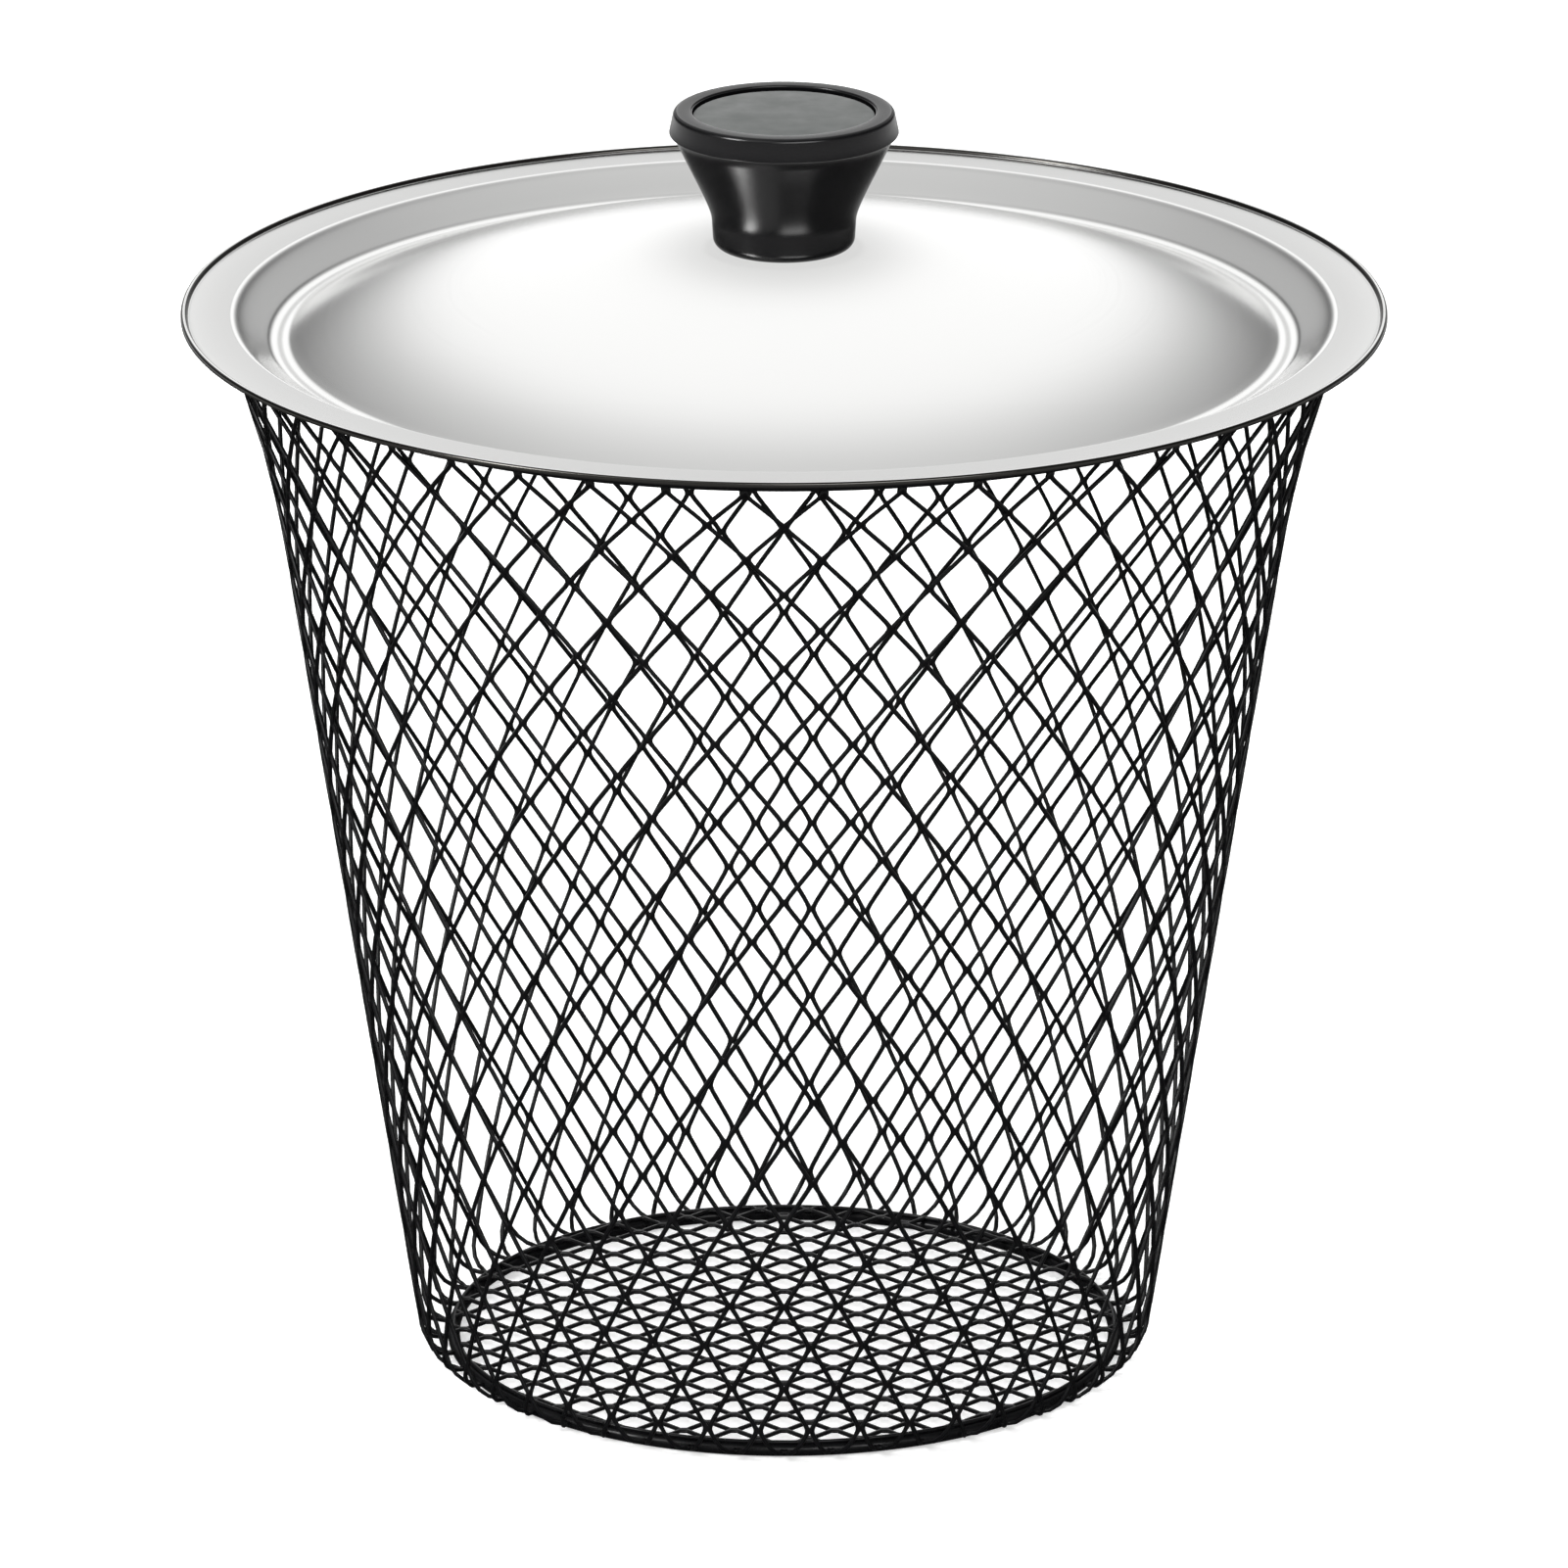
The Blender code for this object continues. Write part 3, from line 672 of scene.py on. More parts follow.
def tree_with(name, sockets):
    """A geometry tree with named inputs, and its input node."""
    tree = bpy.data.node_groups.new(name, "GeometryNodeTree")
    tree.is_modifier = True
    tree.interface.new_socket("Geometry", in_out="INPUT", socket_type="NodeSocketGeometry")
    for label, kind in sockets.items():
        tree.interface.new_socket(label, in_out="INPUT", socket_type="NodeSocket" + kind)
    tree.interface.new_socket("Geometry", in_out="OUTPUT", socket_type="NodeSocketGeometry")
    return tree, add_node(tree, "NodeGroupInput")


def lattice_points(tree, columns, rows, odd_first):
    """Points of a lattice, each with its "column" and "row" in half cells. Every second row is
    set over by half a cell."""
    count = add_node(tree, "ShaderNodeMath", {0: columns, 1: rows}, operation="MULTIPLY")
    placed = add_node(tree, "GeometryNodePoints", {"Count": count})
    index = add_node(tree, "GeometryNodeInputIndex")
    turns = add_node(tree, "ShaderNodeMath", {0: index, 1: columns}, operation="DIVIDE")
    row = add_node(tree, "ShaderNodeMath", {0: turns}, operation="FLOOR")
    step = add_node(tree, "ShaderNodeMath", {0: index, 1: columns}, operation="MODULO")
    shifted = add_node(tree, "ShaderNodeMath", {0: row, 1: float(odd_first)}, operation="ADD")
    odd = add_node(tree, "ShaderNodeMath", {0: shifted, 1: 2.0}, operation="MODULO")
    column = add_node(tree, "ShaderNodeMath", {0: step, 1: 2.0, 2: odd}, operation="MULTIPLY_ADD")
    for name, value in (("column", column), ("row", row)):
        placed = add_node(
            tree, "GeometryNodeStoreNamedAttribute",
            {"Geometry": placed, "Name": name, "Value": value}, data_type="FLOAT", domain="POINT",
        )
    return placed, row


def lattice_place(tree):
    """Where a vertex of a crossing lies on the lattice, in half cells, as (column, row)."""
    gone = add_node(
        tree, "GeometryNodeInputNamedAttribute", {"Name": "share"}, data_type="FLOAT_VECTOR"
    )
    gone_xyz = add_node(tree, "ShaderNodeSeparateXYZ", {0: gone}).outputs
    places = []
    for name, axis in (("column", "X"), ("row", "Y")):
        crossing = add_node(
            tree, "GeometryNodeInputNamedAttribute", {"Name": name}, data_type="FLOAT"
        )
        places.append(add_node(
            tree, "ShaderNodeMath", {0: crossing, 1: gone_xyz[axis]}, operation="ADD"
        ))
    return places


def set_out(tree, points, crossing, chosen=True):
    """Sets a crossing's mesh on each chosen point."""
    shape = add_node(tree, "GeometryNodeObjectInfo", {"Object": crossing}).outputs["Geometry"]
    return add_node(
        tree, "GeometryNodeInstanceOnPoints",
        {"Points": points, "Selection": chosen, "Instance": shape},
    )


def moved_and_welded(tree, geometry, position, given):
    """Moves each vertex to its position, and welds those that meet."""
    moved = add_node(tree, "GeometryNodeSetPosition", {"Geometry": geometry, "Position": position})
    return add_node(
        tree, "GeometryNodeMergeByDistance",
        {"Geometry": moved, "Distance": given.outputs["Weld Distance"]},
    )


def finish_tree(tree, geometry, given):
    """Gives the geometry its material, and ends the tree."""
    done = add_node(
        tree, "GeometryNodeSetMaterial",
        {"Geometry": geometry, "Material": given.outputs["Material"]},
    )
    add_node(tree, "NodeGroupOutput", {"Geometry": done})


def diamond_wall_tree():
    """Bends a flat lattice of crossings onto the wall's profile, turned about Z.

    The modifier's own mesh is the profile. Each vertex finds its place up the profile from its
    row, and its place round the basket from its column.
    """
    tree, given = tree_with("diamond_wall", {
        "Crossing": "Object", "Rim Crossing": "Object", "Foot Crossing": "Object",
        "Cells Round": "Int", "Levels": "Int", "Steps per Level": "Int",
        "Weld Distance": "Float", "Material": "Material",
    })
    cells, levels, steps = [given.outputs[n] for n in ("Cells Round", "Levels", "Steps per Level")]
    rows = add_node(tree, "ShaderNodeMath", {0: levels, 1: 1.0}, operation="ADD")
    placed, row = lattice_points(tree, cells, rows, odd_first=True)
    # The lowest and the highest row have crossings of their own
    at_foot = add_node(tree, "ShaderNodeMath", {0: row, 1: 0.5}, operation="LESS_THAN")
    below_rim = add_node(tree, "ShaderNodeMath", {0: levels, 1: 0.5}, operation="SUBTRACT")
    at_rim = add_node(tree, "ShaderNodeMath", {0: row, 1: below_rim}, operation="GREATER_THAN")
    at_edge = add_node(tree, "ShaderNodeMath", {0: at_foot, 1: at_rim}, operation="ADD")
    between = add_node(tree, "ShaderNodeMath", {0: 1.0, 1: at_edge}, operation="SUBTRACT")
    chosen = {"Crossing": between, "Rim Crossing": at_rim, "Foot Crossing": at_foot}
    kinds = [set_out(tree, placed, given.outputs[name], here) for name, here in chosen.items()]
    joined = add_node(tree, "GeometryNodeJoinGeometry", {"Geometry": kinds})
    real = add_node(tree, "GeometryNodeRealizeInstances", {"Geometry": joined})

    # The profile's middle and its outward direction, between the two samples next to the vertex
    column, level = lattice_place(tree)
    sample = add_node(tree, "ShaderNodeMath", {0: level, 1: steps}, operation="MULTIPLY")
    last = add_node(
        tree, "ShaderNodeMath", {0: levels, 1: steps, 2: -1.0}, operation="MULTIPLY_ADD"
    )
    whole = add_node(tree, "ShaderNodeMath", {0: sample}, operation="FLOOR")
    capped = add_node(tree, "ShaderNodeMath", {0: whole, 1: last}, operation="MINIMUM")
    lower = add_node(tree, "ShaderNodeMath", {0: capped, 1: 0.0}, operation="MAXIMUM")
    upper = add_node(tree, "ShaderNodeMath", {0: lower, 1: 1.0}, operation="ADD")
    past_lower = add_node(tree, "ShaderNodeMath", {0: sample, 1: lower}, operation="SUBTRACT")
    position = add_node(tree, "GeometryNodeInputPosition")
    outward = add_node(
        tree, "GeometryNodeInputNamedAttribute", {"Name": "out"}, data_type="FLOAT_VECTOR"
    )
    fields = []
    for field in (position, outward):
        ends = [
            add_node(
                tree, "GeometryNodeSampleIndex",
                {"Geometry": given.outputs["Geometry"], "Value": field, "Index": index},
                data_type="FLOAT_VECTOR", domain="POINT",
            )
            for index in (lower, upper)
        ]
        fields.append(add_node(
            tree, "ShaderNodeMix",
            {"Factor_Float": past_lower, "A_Vector": ends[0], "B_Vector": ends[1]},
            data_type="VECTOR", clamp_factor=False,
        ))
    middle, out = fields
    out_xyz = add_node(tree, "ShaderNodeSeparateXYZ", {0: out}).outputs
    inward = add_node(tree, "ShaderNodeMath", {0: out_xyz["Z"], 1: -1.0}, operation="MULTIPLY")
    up = add_node(tree, "ShaderNodeCombineXYZ", {"X": inward, "Z": out_xyz["X"]})

    offset = add_node(tree, "ShaderNodeSeparateXYZ", {0: position}).outputs
    raised = add_node(
        tree, "ShaderNodeVectorMath", {0: up, 1: offset["Y"], 2: middle}, operation="MULTIPLY_ADD"
    )
    proud = add_node(
        tree, "ShaderNodeVectorMath", {0: out, 1: offset["Z"], 2: raised},
        operation="MULTIPLY_ADD",
    )
    aside = add_node(tree, "ShaderNodeCombineXYZ", {"Y": offset["X"]})
    flat = add_node(tree, "ShaderNodeVectorMath", {0: proud, 1: aside}, operation="ADD")
    cell_turn = add_node(tree, "ShaderNodeMath", {0: math.pi, 1: cells}, operation="DIVIDE")
    turn = add_node(tree, "ShaderNodeMath", {0: column, 1: cell_turn}, operation="MULTIPLY")
    bent = add_node(
        tree, "ShaderNodeVectorRotate", {"Vector": flat, "Angle": turn}, rotation_type="Z_AXIS"
    )
    finish_tree(tree, moved_and_welded(tree, real, bent, given), given)
    return tree


def diamond_floor_tree():
    """Lays a flat lattice of crossings with its long way along X, cuts it to a disc, and runs
    the selvage wire round the cut ends."""
    tree, given = tree_with("diamond_floor", {
        "Crossing": "Object", "Columns": "Int", "Rows": "Int", "Half Width": "Float",
        "Half Length": "Float", "Disc Radius": "Float", "Height": "Float", "Selvage": "Float",
        "Weld Distance": "Float", "Material": "Material",
    })
    columns, rows = given.outputs["Columns"], given.outputs["Rows"]
    disc_r, height = given.outputs["Disc Radius"], given.outputs["Height"]
    placed, _row = lattice_points(tree, columns, rows, odd_first=False)
    crossings = set_out(tree, placed, given.outputs["Crossing"])
    real = add_node(tree, "GeometryNodeRealizeInstances", {"Geometry": crossings})

    column, row = lattice_place(tree)
    half_rows = add_node(tree, "ShaderNodeMath", {0: rows, 1: 2.0}, operation="DIVIDE")
    from_middle = (
        add_node(tree, "ShaderNodeMath", {0: column, 1: columns}, operation="SUBTRACT"),
        add_node(tree, "ShaderNodeMath", {0: row, 1: half_rows}, operation="SUBTRACT"),
    )
    position = add_node(tree, "GeometryNodeInputPosition")
    offset = add_node(tree, "ShaderNodeSeparateXYZ", {0: position}).outputs
    across, along = [
        add_node(
            tree, "ShaderNodeMath", {0: place, 1: given.outputs[half], 2: offset[axis]},
            operation="MULTIPLY_ADD",
        )
        for place, half, axis in zip(from_middle, ("Half Width", "Half Length"), ("X", "Y"))
    ]
    back = add_node(tree, "ShaderNodeMath", {0: across, 1: -1.0}, operation="MULTIPLY")
    raised = add_node(tree, "ShaderNodeMath", {0: offset["Z"], 1: height}, operation="ADD")
    spot = add_node(tree, "ShaderNodeCombineXYZ", {"X": along, "Y": back, "Z": raised})
    welded = moved_and_welded(tree, real, spot, given)
    blank = add_node(
        tree, "GeometryNodeMeshCylinder",
        {"Vertices": DISC_SIDES, "Radius": disc_r, "Depth": DISC_BLANK_DEPTH},
    )
    disc = add_node(
        tree, "GeometryNodeMeshBoolean", {"Mesh 2": [welded, blank]}, operation="INTERSECT",
        solver="EXACT",
    )
    path, section = [
        add_node(
            tree, "GeometryNodeCurvePrimitiveCircle", {"Resolution": sides, "Radius": radius},
            mode="RADIUS",
        )
        for sides, radius in ((SELVAGE_STEPS, disc_r), (SELVAGE_SIDES, given.outputs["Selvage"]))
    ]
    wire = add_node(tree, "GeometryNodeCurveToMesh", {"Curve": path, "Profile Curve": section})
    lift = add_node(tree, "ShaderNodeCombineXYZ", {"Z": height})
    selvage = add_node(tree, "GeometryNodeSetPosition", {"Geometry": wire, "Offset": lift})
    both = add_node(tree, "GeometryNodeJoinGeometry", {"Geometry": [disc, selvage]})
    finish_tree(tree, add_node(tree, "GeometryNodeSetShadeSmooth", {"Geometry": both}), given)
    return tree


def evaluated_mesh(carrier):
    """The plain mesh of an object with its modifiers done."""
    bpy.context.view_layer.update()
    evaluated = carrier.evaluated_get(bpy.context.evaluated_depsgraph_get())
    return bpy.data.meshes.new_from_object(evaluated)


def grown(name, data, tree, values, helpers):
    """The plain mesh that a tree makes of data. The modifier and the helpers are removed."""
    carrier = linked(name, data)
    modifier = carrier.modifiers.new(tree.name, "NODES")
    modifier.node_group = tree
    labels = {
        item.name: item.identifier
        for item in tree.interface.items_tree
        if item.item_type == "SOCKET" and item.in_out == "INPUT"
    }
    for label, value in values.items():
        modifier[labels[label]] = value
    result = evaluated_mesh(carrier)
    if not result.polygons:
        raise RuntimeError(f"{name}: the geometry tree made no faces")
    for attribute in ("column", "row", "share", "out"):
        if attribute in result.attributes:
            result.attributes.remove(result.attributes[attribute])
    carrier.modifiers.remove(modifier)
    bpy.data.objects.remove(carrier)
    for helper in helpers:
        bpy.data.objects.remove(helper)
    return result


def cap_of_sphere(land_r, foot_r, drop):
    """Radius of the sphere through two rings drop apart, and its centre's depth below the upper."""
    depth = ((foot_r**2 - land_r**2) / drop + drop) / 2
    return math.hypot(depth, land_r), depth


def edge_top(lid):
    """Radius at which the lid's rolled edge is highest."""
    return LID_HIGH.x - lid.sheet / 2 - lid.edge_radius


def lid_line(lid):
    """Middle of the lid's sheet as points (r, z) from the screw hole out to the rolled edge.

    The dome is a cap of a sphere on the axis, cut flat at the land under the knob. It runs out
    into the groove's round bottom, and the groove's outer wall turns over into the flange.
    """
    flange_z = RIM_HIGH.z + GAP + lid.sheet / 2
    land_z = flange_z + lid.dome_rise
    groove_z = flange_z - lid.groove_depth
    bend = RIM_HIGH.x - (RIM_HIGH.z - RIM_LOW.z) - lid.shoulder_play
    groove_mid_r = bend - lid.groove_inset
    sphere_r = cap_of_sphere(lid.land_radius, groove_mid_r, land_z - groove_z)[0]
    foot_slope = math.asin(groove_mid_r / sphere_r)
    # The groove's wall runs straight from the round bottom to the bend
    fall = lid.groove_depth - lid.groove_radius
    reach = math.hypot(lid.groove_inset, fall)
    wall_slope = math.atan2(fall, lid.groove_inset) + math.asin(lid.groove_radius / reach)
    groove = arc(
        (groove_mid_r, groove_z + lid.groove_radius), lid.groove_radius,
        -QUARTER - foot_slope, -QUARTER + wall_slope, BEND_STEPS,
    )
    foot_r, foot_z = groove[0]
    dome_r, depth = cap_of_sphere(lid.land_radius, foot_r, land_z - foot_z)
    dome = []
    for i in range(DOME_STEPS):
        r = lid.land_radius + (foot_r - lid.land_radius) * i / DOME_STEPS
        dome.append((r, land_z - depth + math.sqrt(dome_r**2 - r**2)))
    wall_r, wall_z = groove[-1]
    start = lid.shoulder_start
    pull = (wall_r + (bend - wall_r) * start, wall_z + (flange_z - wall_z) * start)
    level = (bend + lid.shoulder_run, flange_z)
    shoulder = bezier(groove[-1], pull, (bend, flange_z), level, BEND_STEPS)[1:]
    # The edge turns up and rolls over outwards: the flange is outlined dark all round, by the dark
    # band the edge mirrors and by painted shade and a painted dark reflection on the edge
    edge_r, roll_r, bend_r = edge_top(lid), lid.edge_radius, lid.edge_bend
    turn = QUARTER * lid.edge_slope
    level_r = edge_r - 2 * bend_r * math.sin(turn)
    top_z = flange_z + 2 * bend_r * (1 - math.cos(turn))
    edge = [(level_r - lid.sheet, flange_z)]
    edge += arc((level_r, flange_z + bend_r), bend_r, -QUARTER, turn - QUARTER, EDGE_STEPS)
    edge += arc((edge_r, top_z - bend_r), bend_r, QUARTER + turn, QUARTER, EDGE_STEPS)[1:]
    edge += arc((edge_r, top_z - roll_r), roll_r, QUARTER, 0.0, ROUND_STEPS)[1:]
    edge.append((edge_r + roll_r, flange_z))
    return [(lid.hole_radius, land_z)] + dome + groove + shoulder + edge


def thickened(line, thickness):
    """Closed section of a sheet whose middle follows the line."""
    above, below = [], []
    for i, (r, z) in enumerate(line):
        before = line[max(i - 1, 0)]
        after = line[min(i + 1, len(line) - 1)]
        came = Vector((r - before[0], z - before[1]))
        goes = Vector((after[0] - r, after[1] - z))
        along = (came.normalized() + goes.normalized()).normalized()
        step = Vector((-along.y, along.x)) * (thickness / 2)
        above.append((r + step.x, z + step.y))
        below.append((r - step.x, z - step.y))
    return above + below[::-1]


def knob_profile(knob, finish_z):
    """Outline of the knob from its bore up the waisted stem and over the head to the recess."""
    base_z, top = KNOB_LOW.z, KNOB_HIGH.z
    bore_r = BUSH_HIGH.x + GAP
    bore_top = BUSH_HIGH.z + GAP
    neck = (knob.neck_radius, base_z + knob.neck_height)
    band_low = top - knob.band
    throat = (knob.throat_radius, band_low - knob.undercut)
    head_r = KNOB_HIGH.x
    top_r = head_r - knob.draft
    cap_r = CAP_HIGH.x + GAP
    foot, low, high, mouth = knob.foot_radius, knob.band_edge, knob.edge_radius, knob.cap_edge
    rise = throat[1] - neck[1]
    cone = rise * knob.cone
    lower = (neck[0], neck[1] + rise * knob.waist)
    upper = (throat[0] - knob.flare * cone, throat[1] - cone)
    profile = [(0.0, bore_top), (bore_r, bore_top), (bore_r, base_z)]
    profile += arc((knob.base_radius - foot, base_z + foot), foot, -QUARTER, 0.0, ROUND_STEPS)
    profile += bezier(neck, lower, upper, throat, STEM_STEPS)
    profile += arc((head_r - low, band_low + low), low, -QUARTER, 0.0, CHAMFER_STEPS)
    profile += arc((top_r - high, top - high), high, 0.0, QUARTER, ROUND_STEPS)
    profile += arc((cap_r + mouth, top - mouth), mouth, QUARTER, 2 * QUARTER, CHAMFER_STEPS)
    profile += [(cap_r, finish_z), (0.0, finish_z)]
    return profile


def mark_recess(data, radius, mouth_z):
    """Puts the faces inside the cap's recess in the mesh's second material slot."""
    for face in data.polygons:
        middle = face.center
        inside = middle.xy.length < radius + WELD
        if inside and CAP_LOW.z - 2 * GAP < middle.z < mouth_z:
            face.material_index = 1


def cut_mesh(data, cutter, name):
    """The mesh with a cutter's mesh taken out of it."""
    body = linked(name, data)
    tool = linked(name + "_cutter", cutter)
    cut = body.modifiers.new("cut", "BOOLEAN")
    cut.operation = "DIFFERENCE"
    cut.solver = "EXACT"
    cut.object = tool
    result = evaluated_mesh(body)
    bpy.data.objects.remove(body)
    bpy.data.objects.remove(tool)
    result.shade_smooth()
    result.set_sharp_from_angle(angle=SMOOTH_ANGLE)
    return result


class MakeWireRings(bpy.types.Operator):
    """Makes the rim hoop and the base ring of round wire"""

    bl_idname = "compost_basket.wire_rings"
    bl_label = "Wire Rings"

    def execute(self, context):
        enamel = enamelled_steel(context.scene.compost_basket.finish)
        for name, node, low, high in (
            ("rim_hoop_wire", "rim_hoop", RIM_LOW, RIM_HIGH),
            ("base_ring_wire", "base_ring", BASE_LOW, BASE_HIGH),
        ):
            data = to_data(wire_ring(low, high), name)
            finish_piece(name, data, enamel, "basket", "black_steel", node)
        return {"FINISHED"}


class MakeWallMesh(bpy.types.Operator):
    """Grows the wall's diamond mesh over its profile"""

    bl_idname = "compost_basket.wall_mesh"
    bl_label = "Wall Mesh"

    def execute(self, context):
        wall = context.scene.compost_basket.wall
        profile, levels = wall_profile(wall, SAMPLES_PER_LEVEL)
        mean_r = (RIM_HIGH.x + BASE_HIGH.x) / 2
        half_cell = math.pi * mean_r / wall.cells_round
        reach = (half_cell / 2, math.sqrt(wall.strand_pitch**2 - half_cell**2) / 2)
        sizes = (wall.strand_width, wall.strand_thickness, wall.bond_height, wall.bend, reach)
        crossing = Knuckle(*sizes).make("wall_crossing")
        rim = Knuckle(*sizes).make("rim_crossing", above=False, stub=wall.rim_stub)
        foot = Knuckle(*sizes).make("foot_crossing", below=False, stub=wall.foot_stub)
        enamel = bpy.data.materials["enamelled_steel"]
        data = grown("diamond_wall", profile, diamond_wall_tree(), {
            "Crossing": crossing, "Rim Crossing": rim, "Foot Crossing": foot,
            "Cells Round": wall.cells_round, "Levels": levels,
            "Steps per Level": SAMPLES_PER_LEVEL, "Weld Distance": WELD, "Material": enamel,
        }, (crossing, rim, foot))
        finish_piece("diamond_wall", data, enamel, "basket", "black_steel", "wall_mesh")
        return {"FINISHED"}


class MakeFloorMesh(bpy.types.Operator):
    """Lays the floor's diamond mesh on the base ring"""

    bl_idname = "compost_basket.floor_mesh"
    bl_label = "Floor Mesh"

    def execute(self, context):
        basket = context.scene.compost_basket
        floor, wall = basket.floor, basket.wall
        disc_r = BASE_HIGH.x - (BASE_HIGH.z - BASE_LOW.z) / 2
        reach = (floor.cell_width / 4, floor.cell_length / 4)
        crossing = Knuckle(
            wall.strand_width, wall.strand_thickness, floor.bond_length, wall.bend, reach
        ).make("floor_crossing")
        # Enough crossings to pass the disc on every side. A diamond is two rows long
        columns = 2 * math.ceil(disc_r / floor.cell_width) + 2
        rows = 4 * math.ceil(disc_r / floor.cell_length) + 4
        enamel = bpy.data.materials["enamelled_steel"]
        data = grown("diamond_floor", bpy.data.meshes.new("floor_seed"), diamond_floor_tree(), {
            "Crossing": crossing, "Columns": columns, "Rows": rows,
            "Half Width": floor.cell_width / 2, "Half Length": floor.cell_length / 2,
            "Disc Radius": disc_r, "Height": BASE_HIGH.z + wall.strand_thickness / 2,
            "Selvage": floor.selvage / 2, "Weld Distance": WELD, "Material": enamel,
        }, (crossing,))
        finish_piece("diamond_floor", data, enamel, "basket", "black_steel", "floor_mesh")
        return {"FINISHED"}


class MakeLid(bpy.types.Operator):
    """Spins the lid's stainless sheet"""

    bl_idname = "compost_basket.lid"
    bl_label = "Lid"

    def execute(self, context):
        lid = context.scene.compost_basket.lid
        section = thickened(lid_line(lid), lid.sheet)
        data = to_data(turned(section, LID_STEPS), "lid_sheet")
        sheet = spun_stainless(context.scene.compost_basket.finish, lid, edge_top(lid))
        finish_piece("lid_sheet", data, sheet, "lid", "stainless_lid", "lid_shell")
        return {"FINISHED"}


class MakeKnob(bpy.types.Operator):
    """Moulds the knob and the cap in its head"""

    bl_idname = "compost_basket.knob"
    bl_label = "Knob"

    def execute(self, context):
        basket = context.scene.compost_basket
        knob, finish = basket.knob, basket.finish
        section = turned(knob_profile(knob, CAP_LOW.z - GAP), KNOB_STEPS, closed=False)
        plastic = moulded_plastic(
            "glossy_black_plastic", finish.plastic, roughness=0.2, gloss_level=0.2, grain=1.4,
            depth=0.00002,
        )
        moulding = finish_piece(
            "knob_moulding", to_data(section, "knob_moulding"), plastic, "lid", "knob_plastic",
            "knob_body",
        )
        edge = knob.cap_round
        profile = [(0.0, CAP_LOW.z), (CAP_HIGH.x, CAP_LOW.z)]
        profile += arc(
            (CAP_HIGH.x - edge, CAP_HIGH.z - edge), edge, 0.0, QUARTER, CHAMFER_STEPS
        )
        profile.append((0.0, CAP_HIGH.z))
        cap = to_data(turned(profile, CAP_STEPS, closed=False), "knob_cap_disc")
        textured = moulded_plastic(
            "textured_cap_plastic", finish.cap, roughness=0.42, gloss_level=0.5, grain=0.5,
            depth=0.00004,
        )
        disc = finish_piece("knob_cap_disc", cap, textured, "lid", "cap_plastic", "knob_cap")
        # The recess is drawn darker and without gloss: painted shade in the gap round the cap
        mark_recess(moulding.data, CAP_HIGH.x + GAP, KNOB_HIGH.z - knob.cap_edge)
        moulding.data.materials.append(matte_recess(finish))
        # The photograph's lid is clean of the knob's mirror image
        for piece in (moulding, disc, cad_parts["knob_threaded_bush"]):
            piece.visible_glossy = False
        return {"FINISHED"}


class MakeKnobFixing(bpy.types.Operator):
    """Makes the washer and slotted screw under the lid, and finishes the brass bush"""

    bl_idname = "compost_basket.knob_fixing"
    bl_label = "Knob Fixing"

    def execute(self, context):
        basket = context.scene.compost_basket
        knob, finish = basket.knob, basket.finish
        zinc = turned_metal("bright_zinc_plate", finish.zinc, roughness=0.28, spangle=2.0)
        brass = turned_metal("turned_brass", finish.brass, roughness=0.3, spangle=1.5)
        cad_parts["knob_threaded_bush"].data.materials.clear()
        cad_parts["knob_threaded_bush"].data.materials.append(brass)

        shank_r, edge = knob.shank_radius, knob.washer_edge
        inner, outer = shank_r + GAP, WASHER_HIGH.x
        low, high = WASHER_LOW.z, WASHER_HIGH.z
        profile = [(inner, low), (outer - edge, low), (outer, low + edge)]
        profile += [(outer, high - edge), (outer - edge, high), (inner, high)]
        washer = to_data(turned(profile, WASHER_STEPS), "knob_washer_disc")
        finish_piece("knob_washer_disc", washer, zinc, "lid", "plated_steel", "knob_washer")

        head_top = WASHER_LOW.z - GAP
        head_r, low, tip = SCREW_HIGH.x, SCREW_LOW.z, SCREW_HIGH.z
        rise, chamfer = head_top - low, knob.tip_chamfer
        crown = rise * knob.crown
        profile = [(0.0, low)]
        profile += arc((head_r * knob.crown, low + crown), crown, -QUARTER, 0.0, ROUND_STEPS)[:-1]
        profile += [(head_r, low + rise * knob.head_side), (head_r, head_top), (shank_r, head_top)]
        profile += [(shank_r, tip - chamfer), (shank_r - chamfer, tip), (0.0, tip)]
        blank = to_data(turned(profile, SCREW_STEPS, closed=False), "knob_screw_body")
        cutter = bmesh.new()
        bmesh.ops.create_cube(cutter, size=1.0)
        size = Vector((head_r * 3, knob.slot_width, knob.slot_depth * 2))
        bmesh.ops.scale(cutter, vec=size, verts=cutter.verts)
        bmesh.ops.translate(cutter, vec=(0, 0, low), verts=cutter.verts)
        data = cut_mesh(blank, plain_data(cutter, "driver_slot"), "knob_screw_body")
        screw = finish_piece("knob_screw_body", data, zinc, "lid", "plated_steel", "knob_screw")
        screw.visible_glossy = False
        return {"FINISHED"}


class MakeStage(bpy.types.Operator):
    """Sets the pale floor, the soft light and the camera"""

    bl_idname = "compost_basket.stage"
    bl_label = "Stage"

    def execute(self, context):
        basket = context.scene.compost_basket
        make_floor(basket.finish.floor, basket.stage)
        make_world(context.scene, basket.stage)
        make_lamps(basket.stage)
        make_camera(context.scene, basket.stage)
        context.scene.view_settings.view_transform = "Standard"
        return {"FINISHED"}


